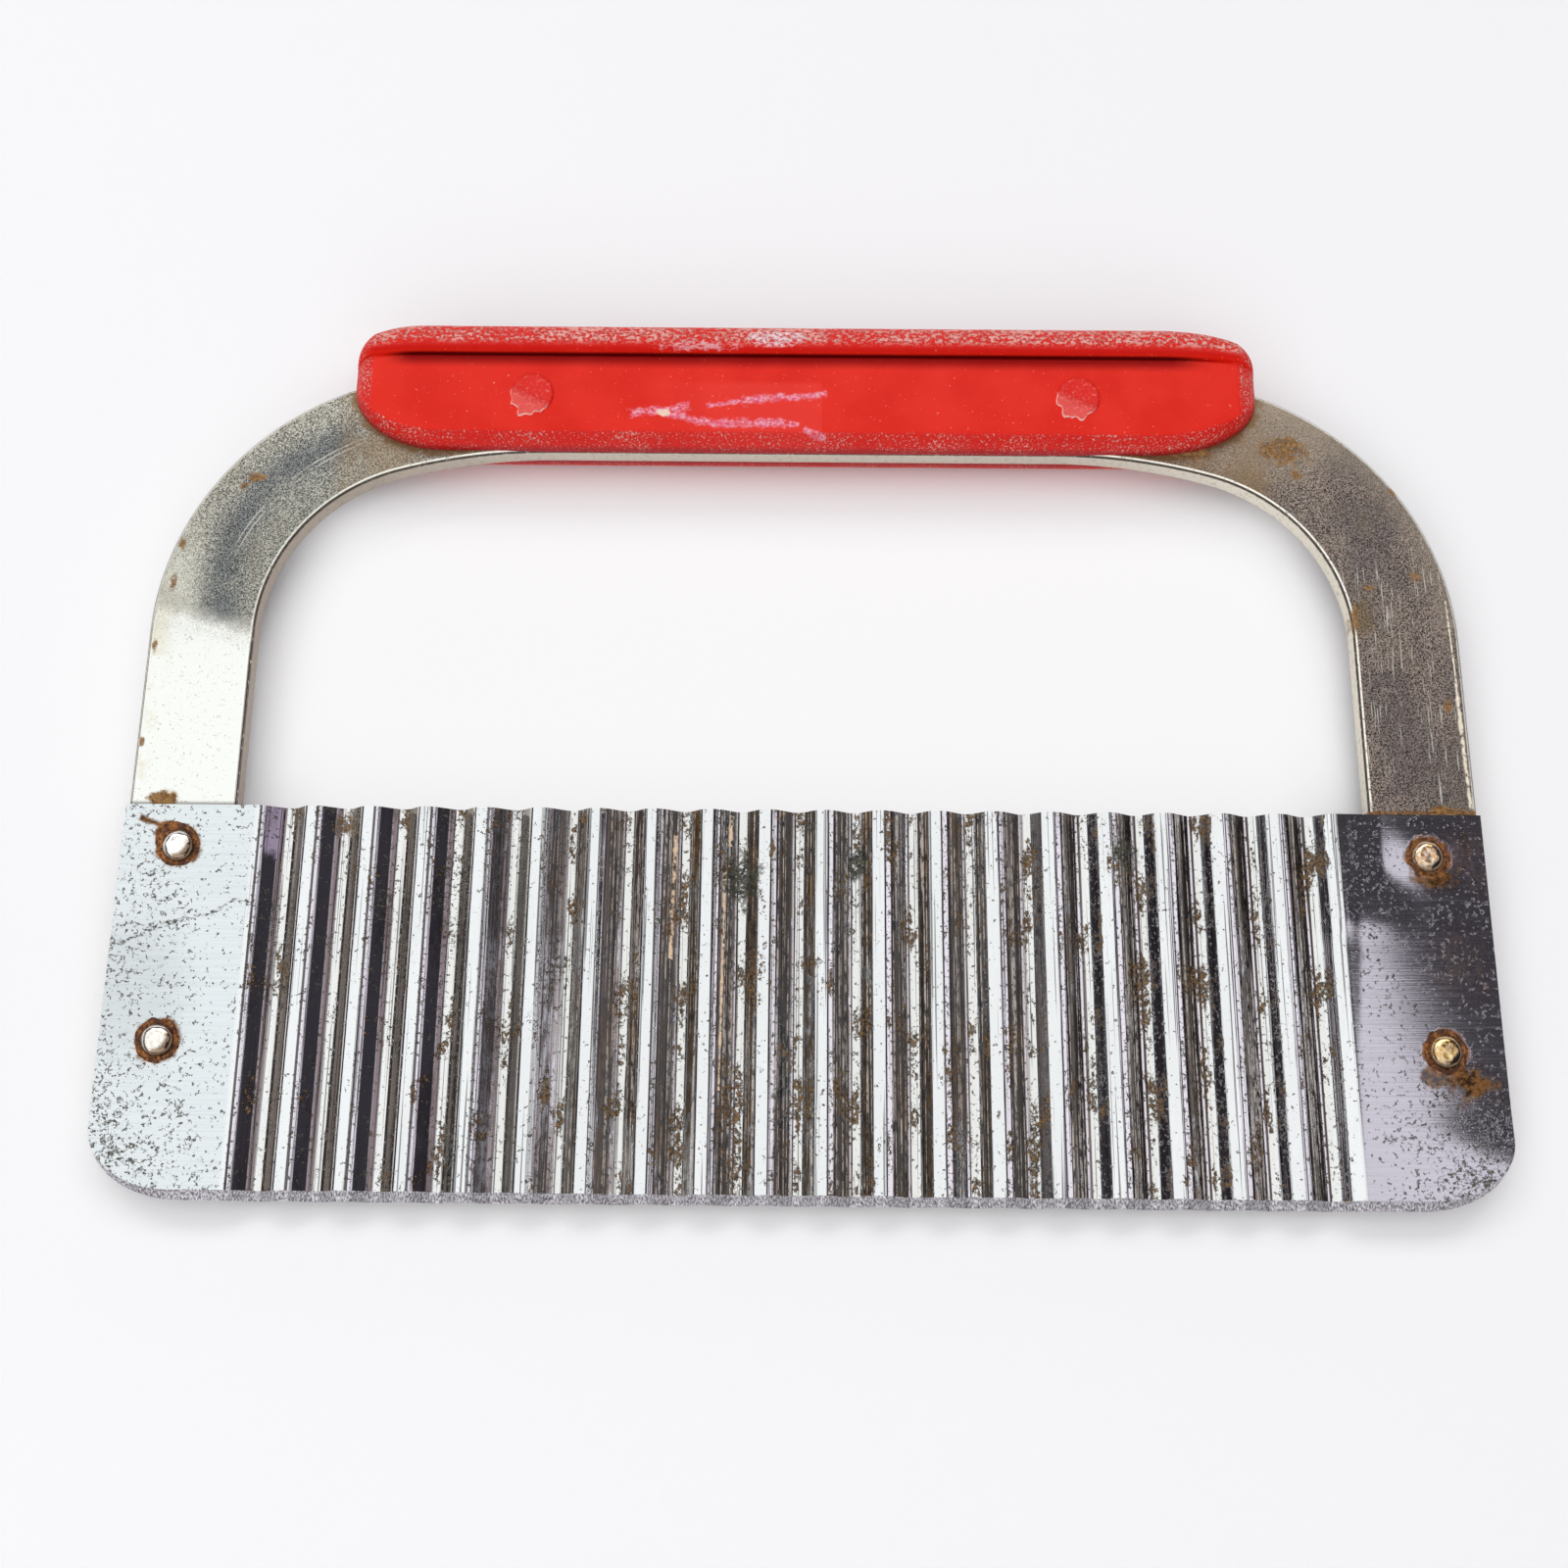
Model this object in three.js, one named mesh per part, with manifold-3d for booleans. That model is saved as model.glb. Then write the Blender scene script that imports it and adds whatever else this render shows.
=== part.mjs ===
// Crinkle cutter: a corrugated stainless blade, riveted by its two flat tabs to the legs of a bent
// steel bow, with a two-part moulded grip pinned over the bow's top bar.
// Millimetres. X runs along the blade, Y from the cutting edge to the grip, Z up through the front.

import * as THREE from 'three';
import { mergeVertices } from 'three/addons/utils/BufferGeometryUtils.js';
import Module from 'manifold-3d';

const wasm = await Module();
wasm.setup();

// Blade: stainless sheet, ground along one edge, then pressed into waves between two flat tabs
const bladeLength = 178;
const bladeHeight = 50.8;
const bladeThickness = 0.8;
const wavePitch = 7.41;
const waveDepth = 1.7;
const waveFlatness = 0.35;
const waveShift = -0.6;
const tabOverhang = 3.6;
const bevelHeight = 1.25;
const edgeThickness = 0.12;
const cornerWidth = 12;
const cornerHeight = 8.6;

// Bow: flat steel bar bent on edge, each shoulder a tight arc that runs into a flatter one
const barWidth = 14.3;
const barThickness = 3.2;
const barEdgeRound = 0.6;
const openingHeight = 52.1;
const shoulderRadius = 32.2;
const shoulderTurn = THREE.MathUtils.degToRad(74);
const crownRadius = 85;
const legTail = 9.8;

// Rivets: two through each tab, set on the front and with a factory-made round head behind
const upperRivetDrop = 5.7;
const rivetFromEnd = 7.5;
const rivetSpacing = 25.4;
const rivetDiameter = 3.2;
const rivetFit = 0.15;
const setHeadDiameter = 4.4;
const setHeadFlat = 3;
const setHeadRise = 1;
const roundHeadDiameter = 5.8;
const roundHeadRise = 1.1;

// Grip: two like halves that close round the bar, each with a rolled bead along its upper edge
const gripLength = 127;
const gripLip = 3.3;
const gripSetback = 0.1;
const panelThickness = 3.3;
const beadRadius = 2.7;
const beadRise = 1.8;
const grooveWidth = 0.9;
const grooveDepth = 0.35;
const upperCornerRadius = 5;
const lowerCornerRadius = 9;
const endRound = 3;
const pocketClearance = 0.3;
const partingGap = 0.2;

// Grip pins: moulded studs through both halves and the bar, flattened into a shallow recess
const pinSpacing = 76.2;
const pinDiameter = 4;
const pinFit = 0.2;
const pinHeadDiameter = 6.2;
const pinHeadFlat = 4.6;
const pinHeadRise = 0.45;
const recessDepth = 0.6;
const recessFit = 0.15;

// Hairline left between faces that are clamped together
const seatGap = 0.05;

// Facets: steps along a wave, a bend, a small round and a full turn
const waveSteps = 12;
const bendSteps = 10;
const roundSteps = 5;
const turnSteps = 20;

// Places that follow from the sizes above
const barHalf = barWidth / 2;
const barFace = barThickness / 2;
const legX = bladeLength / 2 - barHalf;
const rivetX = bladeLength / 2 - rivetFromEnd;
const barY = bladeHeight + openingHeight + barHalf;
const upperRivetY = bladeHeight - upperRivetDrop;
const lowerRivetY = upperRivetY - rivetSpacing;
const tabBack = barFace + seatGap;
const tabFront = tabBack + bladeThickness;
const gripFloor = barFace + seatGap;
const panelZ = gripFloor + panelThickness;
const crestZ = panelZ + beadRise;
const gripTop = barHalf + gripLip;
const gripBottom = gripSetback - barHalf;

// Booleans: a closed geometry as a solid, and a solid as a geometry
function toSolid(geometry) {
  const bare = geometry.clone();
  bare.deleteAttribute('normal');
  bare.deleteAttribute('uv');
  const merged = mergeVertices(bare);
  const mesh = new wasm.Mesh({
    numProp: 3,
    vertProperties: new Float32Array(merged.attributes.position.array),
    triVerts: new Uint32Array(merged.index.array),
  });
  return new wasm.Manifold(mesh);
}

function toGeometry(solid) {
  const mesh = solid.getMesh();
  const geometry = new THREE.BufferGeometry();
  geometry.setAttribute('position', new THREE.BufferAttribute(mesh.vertProperties, 3));
  geometry.setIndex(new THREE.BufferAttribute(mesh.triVerts, 1));
  geometry.computeVertexNormals();
  return geometry;
}

// A round drill along Z, from one height to another
function drill(diameter, x, y, zLow, zHigh) {
  const geometry = new THREE.CylinderGeometry(diameter / 2, diameter / 2, zHigh - zLow, turnSteps);
  geometry.rotateX(Math.PI / 2);
  geometry.translate(x, y, (zLow + zHigh) / 2);
  return toSolid(geometry);
}

// A turned piece on the Z axis, from a profile of [radius, height] pairs
function turned(profile) {
  const points = profile.map(([radius, height]) => new THREE.Vector2(radius, height));
  const geometry = new THREE.LatheGeometry(points, turnSteps);
  geometry.rotateX(Math.PI / 2);
  return geometry;
}

// Blade: whole waves fill the length that the two tabs leave, crests level with the tabs
const shortestTab = barWidth + tabOverhang + Math.abs(waveShift);
const waveCount = Math.floor((bladeLength - 2 * shortestTab) / wavePitch);
const waveHalfLength = (waveCount * wavePitch) / 2;

// Height of the sheet's middle surface at x, below the tabs, and its slope there.
// A cosine wave, part way to one with flatter crests and valleys.
function waveAt(x) {
  const along = x - waveShift;
  if (Math.abs(along) >= waveHalfLength) return { z: 0, slope: 0 };
  const phase = (2 * Math.PI * (along + waveHalfLength)) / wavePitch;
  const turn = (Math.PI / 2) * Math.cos(phase);
  const swell = (1 - waveFlatness) * Math.cos(phase) + waveFlatness * Math.sin(turn);
  const steepness = 1 - waveFlatness + waveFlatness * (Math.PI / 2) * Math.cos(turn);
  return {
    z: (-waveDepth / 2) * (1 - swell),
    slope: (-waveDepth / 2) * steepness * Math.sin(phase) * ((2 * Math.PI) / wavePitch),
  };
}

// Height of the cutting edge at x: straight, then swept up round each lower corner
function edgeAt(x) {
  const inset = bladeLength / 2 - Math.abs(x);
  if (inset >= cornerWidth) return 0;
  const run = 1 - inset / cornerWidth;
  return cornerHeight * (1 - Math.sqrt(1 - run * run));
}

// Stations along the blade: crowded towards the ends, where the corners sweep up
function bladeStations() {
  const corner = [];
  for (let i = 0; i <= 2 * roundSteps; i++) {
    const angle = (Math.PI / 2) * (i / (2 * roundSteps));
    corner.push(bladeLength / 2 - cornerWidth * (1 - Math.cos(angle)));
  }
  const waves = [];
  for (let i = 0; i <= waveCount * waveSteps; i++) {
    waves.push(waveShift - waveHalfLength + (i / waveSteps) * wavePitch);
  }
  return [...corner.map((x) => -x), ...waves, ...corner.reverse()];
}

// The sheet's outline at x, a ring of six points: edge, bevel and top, in front and behind
function bladeRing(x) {
  const { z, slope } = waveAt(x);
  const length = Math.hypot(1, slope);
  const half = bladeThickness / 2;
  const edge = edgeAt(x);
  const bevelTop = edge + bevelHeight;
  const outline = [
    [edge, edgeThickness - half],
    [bevelTop, half],
    [bladeHeight, half],
    [bladeHeight, -half],
    [bevelTop, -half],
    [edge, -half],
  ];
  return outline.map(([y, offset]) => [x - (slope / length) * offset, y, z + offset / length]);
}

// Rings of points, one after another along X, closed into a body with a flat cap at each end
function loft(rings) {
  const size = rings[0].length;
  const index = [];
  for (let ring = 0; ring < rings.length - 1; ring++) {
    for (let i = 0; i < size; i++) {
      const a = ring * size + i;
      const b = ring * size + ((i + 1) % size);
      index.push(a, b + size, b, a, a + size, b + size);
    }
  }
  const last = (rings.length - 1) * size;
  for (let i = 1; i < size - 1; i++) {
    index.push(0, i, i + 1);
    index.push(last, last + i + 1, last + i);
  }
  const geometry = new THREE.BufferGeometry();
  geometry.setAttribute('position', new THREE.Float32BufferAttribute(rings.flat(2), 3));
  geometry.setIndex(index);
  return geometry;
}

function buildBlade() {
  let blade = toSolid(loft(bladeStations().map(bladeRing)));
  for (const side of [-1, 1]) {
    for (const y of [upperRivetY, lowerRivetY]) {
      const hole = drill(rivetDiameter + 2 * rivetFit, side * rivetX, y, -barWidth, barWidth);
      blade = blade.subtract(hole);
    }
  }
  return toGeometry(blade);
}

// Bow outline about the top bar's centre, grown all round by a clearance
function bowOutline(grow) {
  const half = barHalf + grow;
  const shoulderX = legX - shoulderRadius;
  const crownX = shoulderX + (shoulderRadius - crownRadius) * Math.cos(shoulderTurn);
  const crownY = -crownRadius;
  const shoulderY = crownY - (shoulderRadius - crownRadius) * Math.sin(shoulderTurn);
  const legEnd = lowerRivetY - legTail - barY - grow;
  const quarter = Math.PI / 2;
  const leftTurn = Math.PI - shoulderTurn;
  const shape = new THREE.Shape();
  shape.moveTo(legX + half, legEnd);
  shape.lineTo(legX + half, shoulderY);
  shape.absarc(shoulderX, shoulderY, shoulderRadius + half, 0, shoulderTurn, false);
  shape.absarc(crownX, crownY, crownRadius + half, shoulderTurn, quarter, false);
  shape.absarc(-crownX, crownY, crownRadius + half, quarter, leftTurn, false);
  shape.absarc(-shoulderX, shoulderY, shoulderRadius + half, leftTurn, Math.PI, false);
  shape.lineTo(-legX - half, legEnd);
  shape.lineTo(half - legX, legEnd);
  shape.lineTo(half - legX, shoulderY);
  shape.absarc(-shoulderX, shoulderY, shoulderRadius - half, Math.PI, leftTurn, true);
  shape.absarc(-crownX, crownY, crownRadius - half, leftTurn, quarter, true);
  shape.absarc(crownX, crownY, crownRadius - half, quarter, shoulderTurn, true);
  shape.absarc(shoulderX, shoulderY, shoulderRadius - half, shoulderTurn, 0, true);
  shape.lineTo(legX - half, legEnd);
  shape.closePath();
  return shape;
}

function buildBow() {
  const flat = barThickness - 2 * barEdgeRound;
  const bar = new THREE.ExtrudeGeometry(bowOutline(0), {
    depth: flat,
    curveSegments: bendSteps,
    bevelThickness: barEdgeRound,
    bevelSize: barEdgeRound,
    bevelOffset: -barEdgeRound,
    bevelSegments: 2,
  });
  bar.translate(0, 0, -flat / 2);
  let bow = toSolid(bar);
  for (const side of [-1, 1]) {
    for (const y of [upperRivetY, lowerRivetY]) {
      const hole = drill(rivetDiameter + 2 * rivetFit, side * rivetX, y - barY, -barWidth, barWidth);
      bow = bow.subtract(hole);
    }
    const pinHole = drill(pinDiameter + 2 * pinFit, (side * pinSpacing) / 2, 0, -barWidth, barWidth);
    bow = bow.subtract(pinHole);
  }
  return toGeometry(bow);
}

// Outer profile of a grip half, from the lower parting edge round to the upper one.
// Each point is a distance in from the lower or the upper edge, and a height above the bar's middle.
function gripProfile() {
  const profile = [{ fromTop: false, inset: 0, z: partingGap / 2 }];
  for (let i = 0; i <= roundSteps; i++) {
    const angle = (Math.PI / 2) * (i / roundSteps);
    profile.push({
      fromTop: false,
      inset: panelThickness * (1 - Math.cos(angle)),
      z: gripFloor + panelThickness * Math.sin(angle),
    });
  }
  profile.push({ fromTop: true, inset: 2 * beadRadius + grooveWidth, z: panelZ });
  profile.push({ fromTop: true, inset: 2 * beadRadius, z: panelZ - grooveDepth });
  for (let i = 2 * roundSteps - 1; i >= 0; i--) {
    const angle = (Math.PI / 2) * (i / roundSteps);
    profile.push({
      fromTop: true,
      inset: beadRadius * (1 - Math.cos(angle)),
      z: crestZ - beadRadius * (1 - Math.sin(angle)),
    });
  }
  profile.push({ fromTop: true, inset: 0, z: partingGap / 2 });
  return profile;
}

// Fall of a quarter round of a given radius, at a distance in from the edge
function roundFall(radius, inset) {
  if (inset >= radius) return 0;
  const run = radius - inset;
  return radius - Math.sqrt(radius * radius - run * run);
}

// Stations along a grip half: the end round first, then the rest of the corner's arc
function gripStations() {
  const corner = Math.max(upperCornerRadius, lowerCornerRadius);
  const insets = [];
  for (let i = 0; i <= roundSteps; i++) {
    insets.push(endRound * (1 - Math.cos((Math.PI / 2) * (i / roundSteps))));
  }
  for (let i = 1; i <= roundSteps; i++) {
    insets.push(endRound + (corner - endRound) * (i / roundSteps));
  }
  const rightHalf = insets.map((inset) => gripLength / 2 - inset);
  return [...rightHalf.map((x) => -x), ...rightHalf.reverse()];
}

// The outline of a grip half at x: its profile, drawn in at the corners and rounded off at the ends
function gripRing(x, profile) {
  const inset = gripLength / 2 - Math.abs(x);
  const top = gripTop - roundFall(upperCornerRadius, inset);
  const bottom = gripBottom + roundFall(lowerCornerRadius, inset);
  const fullHeight = 2 * beadRadius + grooveWidth + panelThickness + beadRadius;
  const squeeze = Math.min(1, (top - bottom) / fullHeight);
  const crown = 1 - roundFall(endRound, inset) / endRound;
  const ring = [[x, (top + bottom) / 2, partingGap / 2]];
  for (const point of profile) {
    const y = point.fromTop ? top - point.inset * squeeze : bottom + point.inset * squeeze;
    const raised = Math.max(0, point.z - gripFloor);
    ring.push([x, y, point.z - raised * (1 - crown)]);
  }
  return ring;
}

// A grip half as moulded: the pocket for the bar, and a recessed hole for each pin
function buildGripHalf() {
  const profile = gripProfile();
  let half = toSolid(loft(gripStations().map((x) => gripRing(x, profile))));
  const pocket = new THREE.ExtrudeGeometry(bowOutline(pocketClearance), {
    depth: 2 * gripFloor,
    curveSegments: bendSteps,
    bevelEnabled: false,
  });
  pocket.translate(0, 0, -gripFloor);
  half = half.subtract(toSolid(pocket));
  for (const side of [-1, 1]) {
    const x = (side * pinSpacing) / 2;
    const hole = drill(pinDiameter + 2 * pinFit, x, 0, 0, 2 * crestZ);
    const recess = drill(pinHeadDiameter + 2 * recessFit, x, 0, panelZ - recessDepth, 2 * crestZ);
    half = half.subtract(hole);
    half = half.subtract(recess);
  }
  return toGeometry(half);
}

// Rivet, turned: round factory head behind, plain shank, and the end hammered flat in front
function buildRivet() {
  const backSeat = -barFace - seatGap;
  const frontSeat = tabFront + seatGap;
  const headSphere = (roundHeadDiameter ** 2 / 4 + roundHeadRise ** 2) / (2 * roundHeadRise);
  const profile = [];
  for (let i = 0; i <= roundSteps; i++) {
    const radius = (roundHeadDiameter / 2) * (i / roundSteps);
    const fall = headSphere - Math.sqrt(headSphere ** 2 - radius ** 2);
    profile.push([radius, backSeat - roundHeadRise + fall]);
  }
  profile.push([rivetDiameter / 2, backSeat]);
  profile.push([rivetDiameter / 2, frontSeat]);
  profile.push([setHeadDiameter / 2, frontSeat]);
  profile.push([setHeadDiameter / 2, frontSeat + setHeadRise / 2]);
  profile.push([setHeadFlat / 2, frontSeat + setHeadRise]);
  profile.push([0, frontSeat + setHeadRise]);
  return turned(profile);
}

// Grip pin, turned: a shank with the same low flattened head at both ends
function buildGripPin() {
  const seat = panelZ - recessDepth + seatGap;
  const rim = panelZ;
  const crown = panelZ + pinHeadRise;
  const outline = [
    [pinDiameter / 2, seat],
    [pinHeadDiameter / 2, seat],
    [pinHeadDiameter / 2, rim],
    [pinHeadFlat / 2, crown],
    [0, crown],
  ];
  const behind = outline.map(([radius, height]) => [radius, -height]).reverse();
  return turned([...behind, ...outline]);
}

// Finishes
const stainless = () => new THREE.MeshStandardMaterial({ color: 0xc6ccd0, roughness: 0.3, metalness: 1 });
const nickel = () => new THREE.MeshStandardMaterial({ color: 0xb4b6b8, roughness: 0.35, metalness: 1 });
const rivetSteel = () => new THREE.MeshStandardMaterial({ color: 0xa79a8d, roughness: 0.45, metalness: 1 });
const redPlastic = () => new THREE.MeshStandardMaterial({ color: 0xd5262a, roughness: 0.38, metalness: 0 });

function piece(name, geometry, material) {
  const mesh = new THREE.Mesh(geometry, material);
  mesh.name = name;
  return mesh;
}

// Assembly: the blade's cutting edge lies on y = 0 and the bar's middle on z = 0
const cutter = new THREE.Group();

const blade = piece('blade', buildBlade(), stainless());
blade.position.z = (tabBack + tabFront) / 2;
cutter.add(blade);

const rivetGeometry = buildRivet();
for (const [sideName, side] of [['left', -1], ['right', 1]]) {
  for (const [levelName, y] of [['upper', upperRivetY], ['lower', lowerRivetY]]) {
    const rivet = piece(`rivet_${levelName}_${sideName}`, rivetGeometry, rivetSteel());
    rivet.position.set(side * rivetX, y, 0);
    cutter.add(rivet);
  }
}

// Handle: the bow and what is fixed to its top bar, about the bar's centre
const handle = new THREE.Group();
handle.position.y = barY;
cutter.add(handle);

handle.add(piece('bow', buildBow(), nickel()));

const gripGeometry = buildGripHalf();
handle.add(piece('grip_front', gripGeometry, redPlastic()));
const gripBack = piece('grip_back', gripGeometry, redPlastic());
gripBack.rotation.y = Math.PI;
handle.add(gripBack);

const pinGeometry = buildGripPin();
for (const [sideName, side] of [['left', -1], ['right', 1]]) {
  const pin = piece(`grip_pin_${sideName}`, pinGeometry, redPlastic());
  pin.position.x = (side * pinSpacing) / 2;
  handle.add(pin);
}

// Origin: middle of the footprint, level with the lowest point of the grip's back
cutter.position.set(0, -(barY + gripTop) / 2, crestZ);

export default cutter;
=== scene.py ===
import math
import random

import bmesh
import bpy
import numpy as np
from mathutils import Matrix, Vector, noise


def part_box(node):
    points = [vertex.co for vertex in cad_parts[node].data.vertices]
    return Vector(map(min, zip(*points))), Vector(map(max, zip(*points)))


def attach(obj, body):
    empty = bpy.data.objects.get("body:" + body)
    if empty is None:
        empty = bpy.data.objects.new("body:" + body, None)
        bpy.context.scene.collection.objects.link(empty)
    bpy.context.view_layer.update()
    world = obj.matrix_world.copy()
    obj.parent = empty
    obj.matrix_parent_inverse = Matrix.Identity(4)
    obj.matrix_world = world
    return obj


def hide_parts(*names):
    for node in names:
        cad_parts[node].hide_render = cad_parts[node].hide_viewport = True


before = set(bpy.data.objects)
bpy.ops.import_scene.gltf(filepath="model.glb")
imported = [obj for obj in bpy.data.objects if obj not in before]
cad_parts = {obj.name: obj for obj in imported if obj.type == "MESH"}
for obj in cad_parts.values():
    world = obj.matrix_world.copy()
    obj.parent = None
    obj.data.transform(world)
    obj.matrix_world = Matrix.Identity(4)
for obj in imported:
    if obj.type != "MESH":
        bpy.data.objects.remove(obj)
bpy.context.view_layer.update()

mm = 0.001


# Blade: a stainless sheet, ground along its cutting edge and then pressed into waves between two
# flat tabs. Years of use have pitted it, browned its flanks and rusted it round the rivets.
def node_box(name):
    """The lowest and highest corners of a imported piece, in millimetres."""
    low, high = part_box(name)
    return low / mm, high / mm


def add(name, data):
    """A new object in the scene."""
    thing = bpy.data.objects.new(name, data)
    bpy.context.scene.collection.objects.link(thing)
    return thing


def loft(name, rings, sharp=30, joined=False):
    """A closed mesh through rings of points in millimetres, smooth up to an angle in degrees.

    The last ring joins the first, or both ends are capped.
    """
    mesh = bmesh.new()
    points = [[mesh.verts.new(Vector(point) * mm) for point in ring] for ring in rings]
    for here, ahead in zip(points, points[1:] + points[:1] if joined else points[1:]):
        for i in range(len(here)):
            mesh.faces.new([here[i - 1], here[i], ahead[i], ahead[i - 1]])
    if not joined:
        mesh.faces.new(points[0][::-1])
        mesh.faces.new(points[-1])
    bmesh.ops.recalc_face_normals(mesh, faces=mesh.faces)
    data = bpy.data.meshes.new(name)
    mesh.to_mesh(data)
    mesh.free()
    data.shade_smooth()
    data.set_sharp_from_angle(angle=math.radians(sharp))
    return add(name, data)


def tint(red, green, blue):
    """A colour as it is seen, 0 to 255, for a shader."""
    def linear(value):
        share = value / 255
        return share / 12.92 if share <= 0.04045 else ((share + 0.055) / 1.055) ** 2.4
    return (linear(red), linear(green), linear(blue), 1)


def unevenness(x, y, size, seed=0):
    """A smooth random height between about -1 and 1, with bumps of a size in millimetres."""
    return noise.noise(Vector((x / size, y / size, 7.3 * seed)))


class Amount:
    """A number or colour that varies over a finish, where + - * and abs() make shader nodes."""

    def __init__(self, finish, socket):
        self.finish = finish
        self.socket = socket

    def __add__(self, other):
        return self.finish.math("ADD", self, other)

    def __sub__(self, other):
        return self.finish.math("SUBTRACT", self, other)

    def __rsub__(self, other):
        return self.finish.math("SUBTRACT", other, self)

    def __mul__(self, other):
        return self.finish.math("MULTIPLY", self, other)

    def __abs__(self):
        return self.finish.math("ABSOLUTE", self)

    def rise(self, low, high):
        """0 below low and 1 above high, or the other way round where low is the larger."""
        inputs = {"Value": self, "From Min": low, "From Max": high}
        return self.finish.node("MapRange", "Result", inputs, interpolation_type="SMOOTHSTEP")

    def band(self, start, full, fade, end):
        """1 between full and fade, falling to 0 at start and at end."""
        return self.rise(start, full) * self.rise(end, fade)

    def slide(self, first, second):
        """From one number to another."""
        return self.finish.node("Mix", 0, {0: self, 2: first, 3: second})


class Nodes:
    """A tree of shader nodes."""

    def __init__(self, tree):
        self.tree = tree

    def feed(self, socket, value):
        """Link a node's output to a socket, or set a plain value on it."""
        value = value.socket if isinstance(value, Amount) else value
        if isinstance(value, bpy.types.NodeSocket):
            self.tree.links.new(value, socket)
        else:
            socket.default_value = value

    def node(self, kind, output, inputs, **settings):
        """An output of a new shader node, whose inputs go by name or number."""
        node = self.tree.nodes.new("ShaderNode" + kind)
        for setting, value in settings.items():
            setattr(node, setting, value)
        for socket, value in inputs.items():
            self.feed(node.inputs[socket], value)
        return Amount(self, node.outputs[output])

    def parts(self, vector):
        """The three numbers of a vector."""
        split = self.tree.nodes.new("ShaderNodeSeparateXYZ")
        self.feed(split.inputs[0], vector)
        return [Amount(self, socket) for socket in split.outputs]

    def vector(self, operation, *values):
        output = "Value" if operation in ("LENGTH", "DOT_PRODUCT") else "Vector"
        return self.node("VectorMath", output, dict(enumerate(values)), operation=operation)

    def math(self, operation, *values):
        return self.node("Math", 0, dict(enumerate(values)), operation=operation)

    def most(self, first, *others):
        """The largest of several numbers."""
        for other in others:
            first = self.math("MAXIMUM", first, other)
        return first


class Finish(Nodes):
    """A material whose colour, roughness and relief follow the place on the object in millimetres."""

    def __init__(self, name):
        self.material = bpy.data.materials.new(name)
        self.material.use_nodes = True
        super().__init__(self.material.node_tree)
        self.shader = self.tree.nodes["Principled BSDF"]
        inputs = {0: self.tree.nodes.new("ShaderNodeTexCoord").outputs["Object"], "Scale": 1 / mm}
        self.place = self.node("VectorMath", "Vector", inputs, operation="SCALE")
        self.x, self.y, self.z = self.parts(self.place)

    def facing(self):
        """How far the surface faces right, up the object and to the front, each from -1 to 1."""
        return self.parts(self.tree.nodes.new("ShaderNodeNewGeometry").outputs["Normal"])

    def noise(self, size, detail=4, rough=0.5, stretch=(1, 1, 1), shift=0):
        """Cloudy noise from 0 to 1, with blotches of a size in millimetres, longer where stretched."""
        scale = tuple(1 / (size * s) for s in stretch)
        spread = self.vector("MULTIPLY_ADD", self.place, scale, (shift, 1.7 * shift, 0.6 * shift))
        inputs = {"Vector": spread, "Scale": 1, "Detail": detail, "Roughness": rough}
        return self.node("TexNoise", "Fac", inputs)

    def blend(self, share, first, second):
        """From one colour to another, where a plain colour is written as it is seen."""
        first, second = (tint(*c) if isinstance(c, tuple) else c for c in (first, second))
        return self.node("Mix", 2, {0: share, 6: first, 7: second}, data_type="RGBA")

    def coats(self, colour, *layers):
        """A colour under one layer after another, each given by the share that it covers and its colour."""
        for share, layer in layers:
            colour = self.blend(share, colour, layer)
        return colour

    def spot(self, x, y, across, up, ragged, soft):
        """1 inside an oval about (x, y), with a soft edge that noise frays."""
        offset = self.vector("SUBTRACT", self.place, (x, y, 0))
        distance = self.vector("LENGTH", self.vector("MULTIPLY", offset, (1 / across, 1 / up, 0)))
        return (distance + ragged).rise(1 + soft / 2, 1 - soft / 2)

    def streak(self, start, end, width, ragged, soft):
        """1 along a straight line between two points (x, y), with an edge that noise frays."""
        start = Vector((*start, 0))
        run = Vector((*end, 0)) - start
        along = run.normalized()
        offset = self.vector("SUBTRACT", self.place, start)
        forward = self.vector("DOT_PRODUCT", offset, along)
        across = self.vector("DOT_PRODUCT", offset, Vector((-along.y, along.x, 0)))
        ahead = abs(forward - run.length / 2) - run.length / 2
        distance = self.most(abs(across), ahead) * (2 / width)
        return (distance + ragged).rise(1 + soft, 1 - soft)

    def relief(self, height):
        """Bumps of a height in millimetres."""
        bumps = self.node("Bump", "Normal", {"Distance": mm, "Height": height})
        self.feed(self.shader.inputs["Normal"], bumps)

    def set(self, colour, rough, metal=0, gloss=0.5):
        inputs = {"Base Color": colour, "Roughness": rough, "Metallic": metal, "Specular IOR Level": gloss}
        for socket, value in inputs.items():
            self.feed(self.shader.inputs[socket], value)
        return self.material


blade_low, blade_high = node_box("blade")
sheet = 0.8
wave_pitch = 7.41
wave_count = 19
wave_shift = -0.6
wave_depth = blade_high.z - blade_low.z - sheet
wave_half = wave_count * wave_pitch / 2
blade_end = blade_high.x
corner_width = 12
corner_height = 8.6
bevel_height = 1.25
edge_thickness = 0.12
sheet_middle = blade_high.z - sheet / 2
left_opening = 0.011
right_opening = 0.003
crest_push = 0.38
valley_push = 0.62
columns_per_wave = 56
rows = 36
corner_steps = 16
tab_steps = 17
tab_step = 0.4
station_gap = 0.1

rivet_places = {}
for name in ("rivet_upper_left", "rivet_lower_left", "rivet_upper_right", "rivet_lower_right"):
    low, high = node_box(name)
    rivet_places[name] = (low + high) / 2

bulge_height = 0.17
bulge_radius = 4.2
lift_height = 0.17
ridge_slope = 0.02
corner_slope = 0.022

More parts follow.
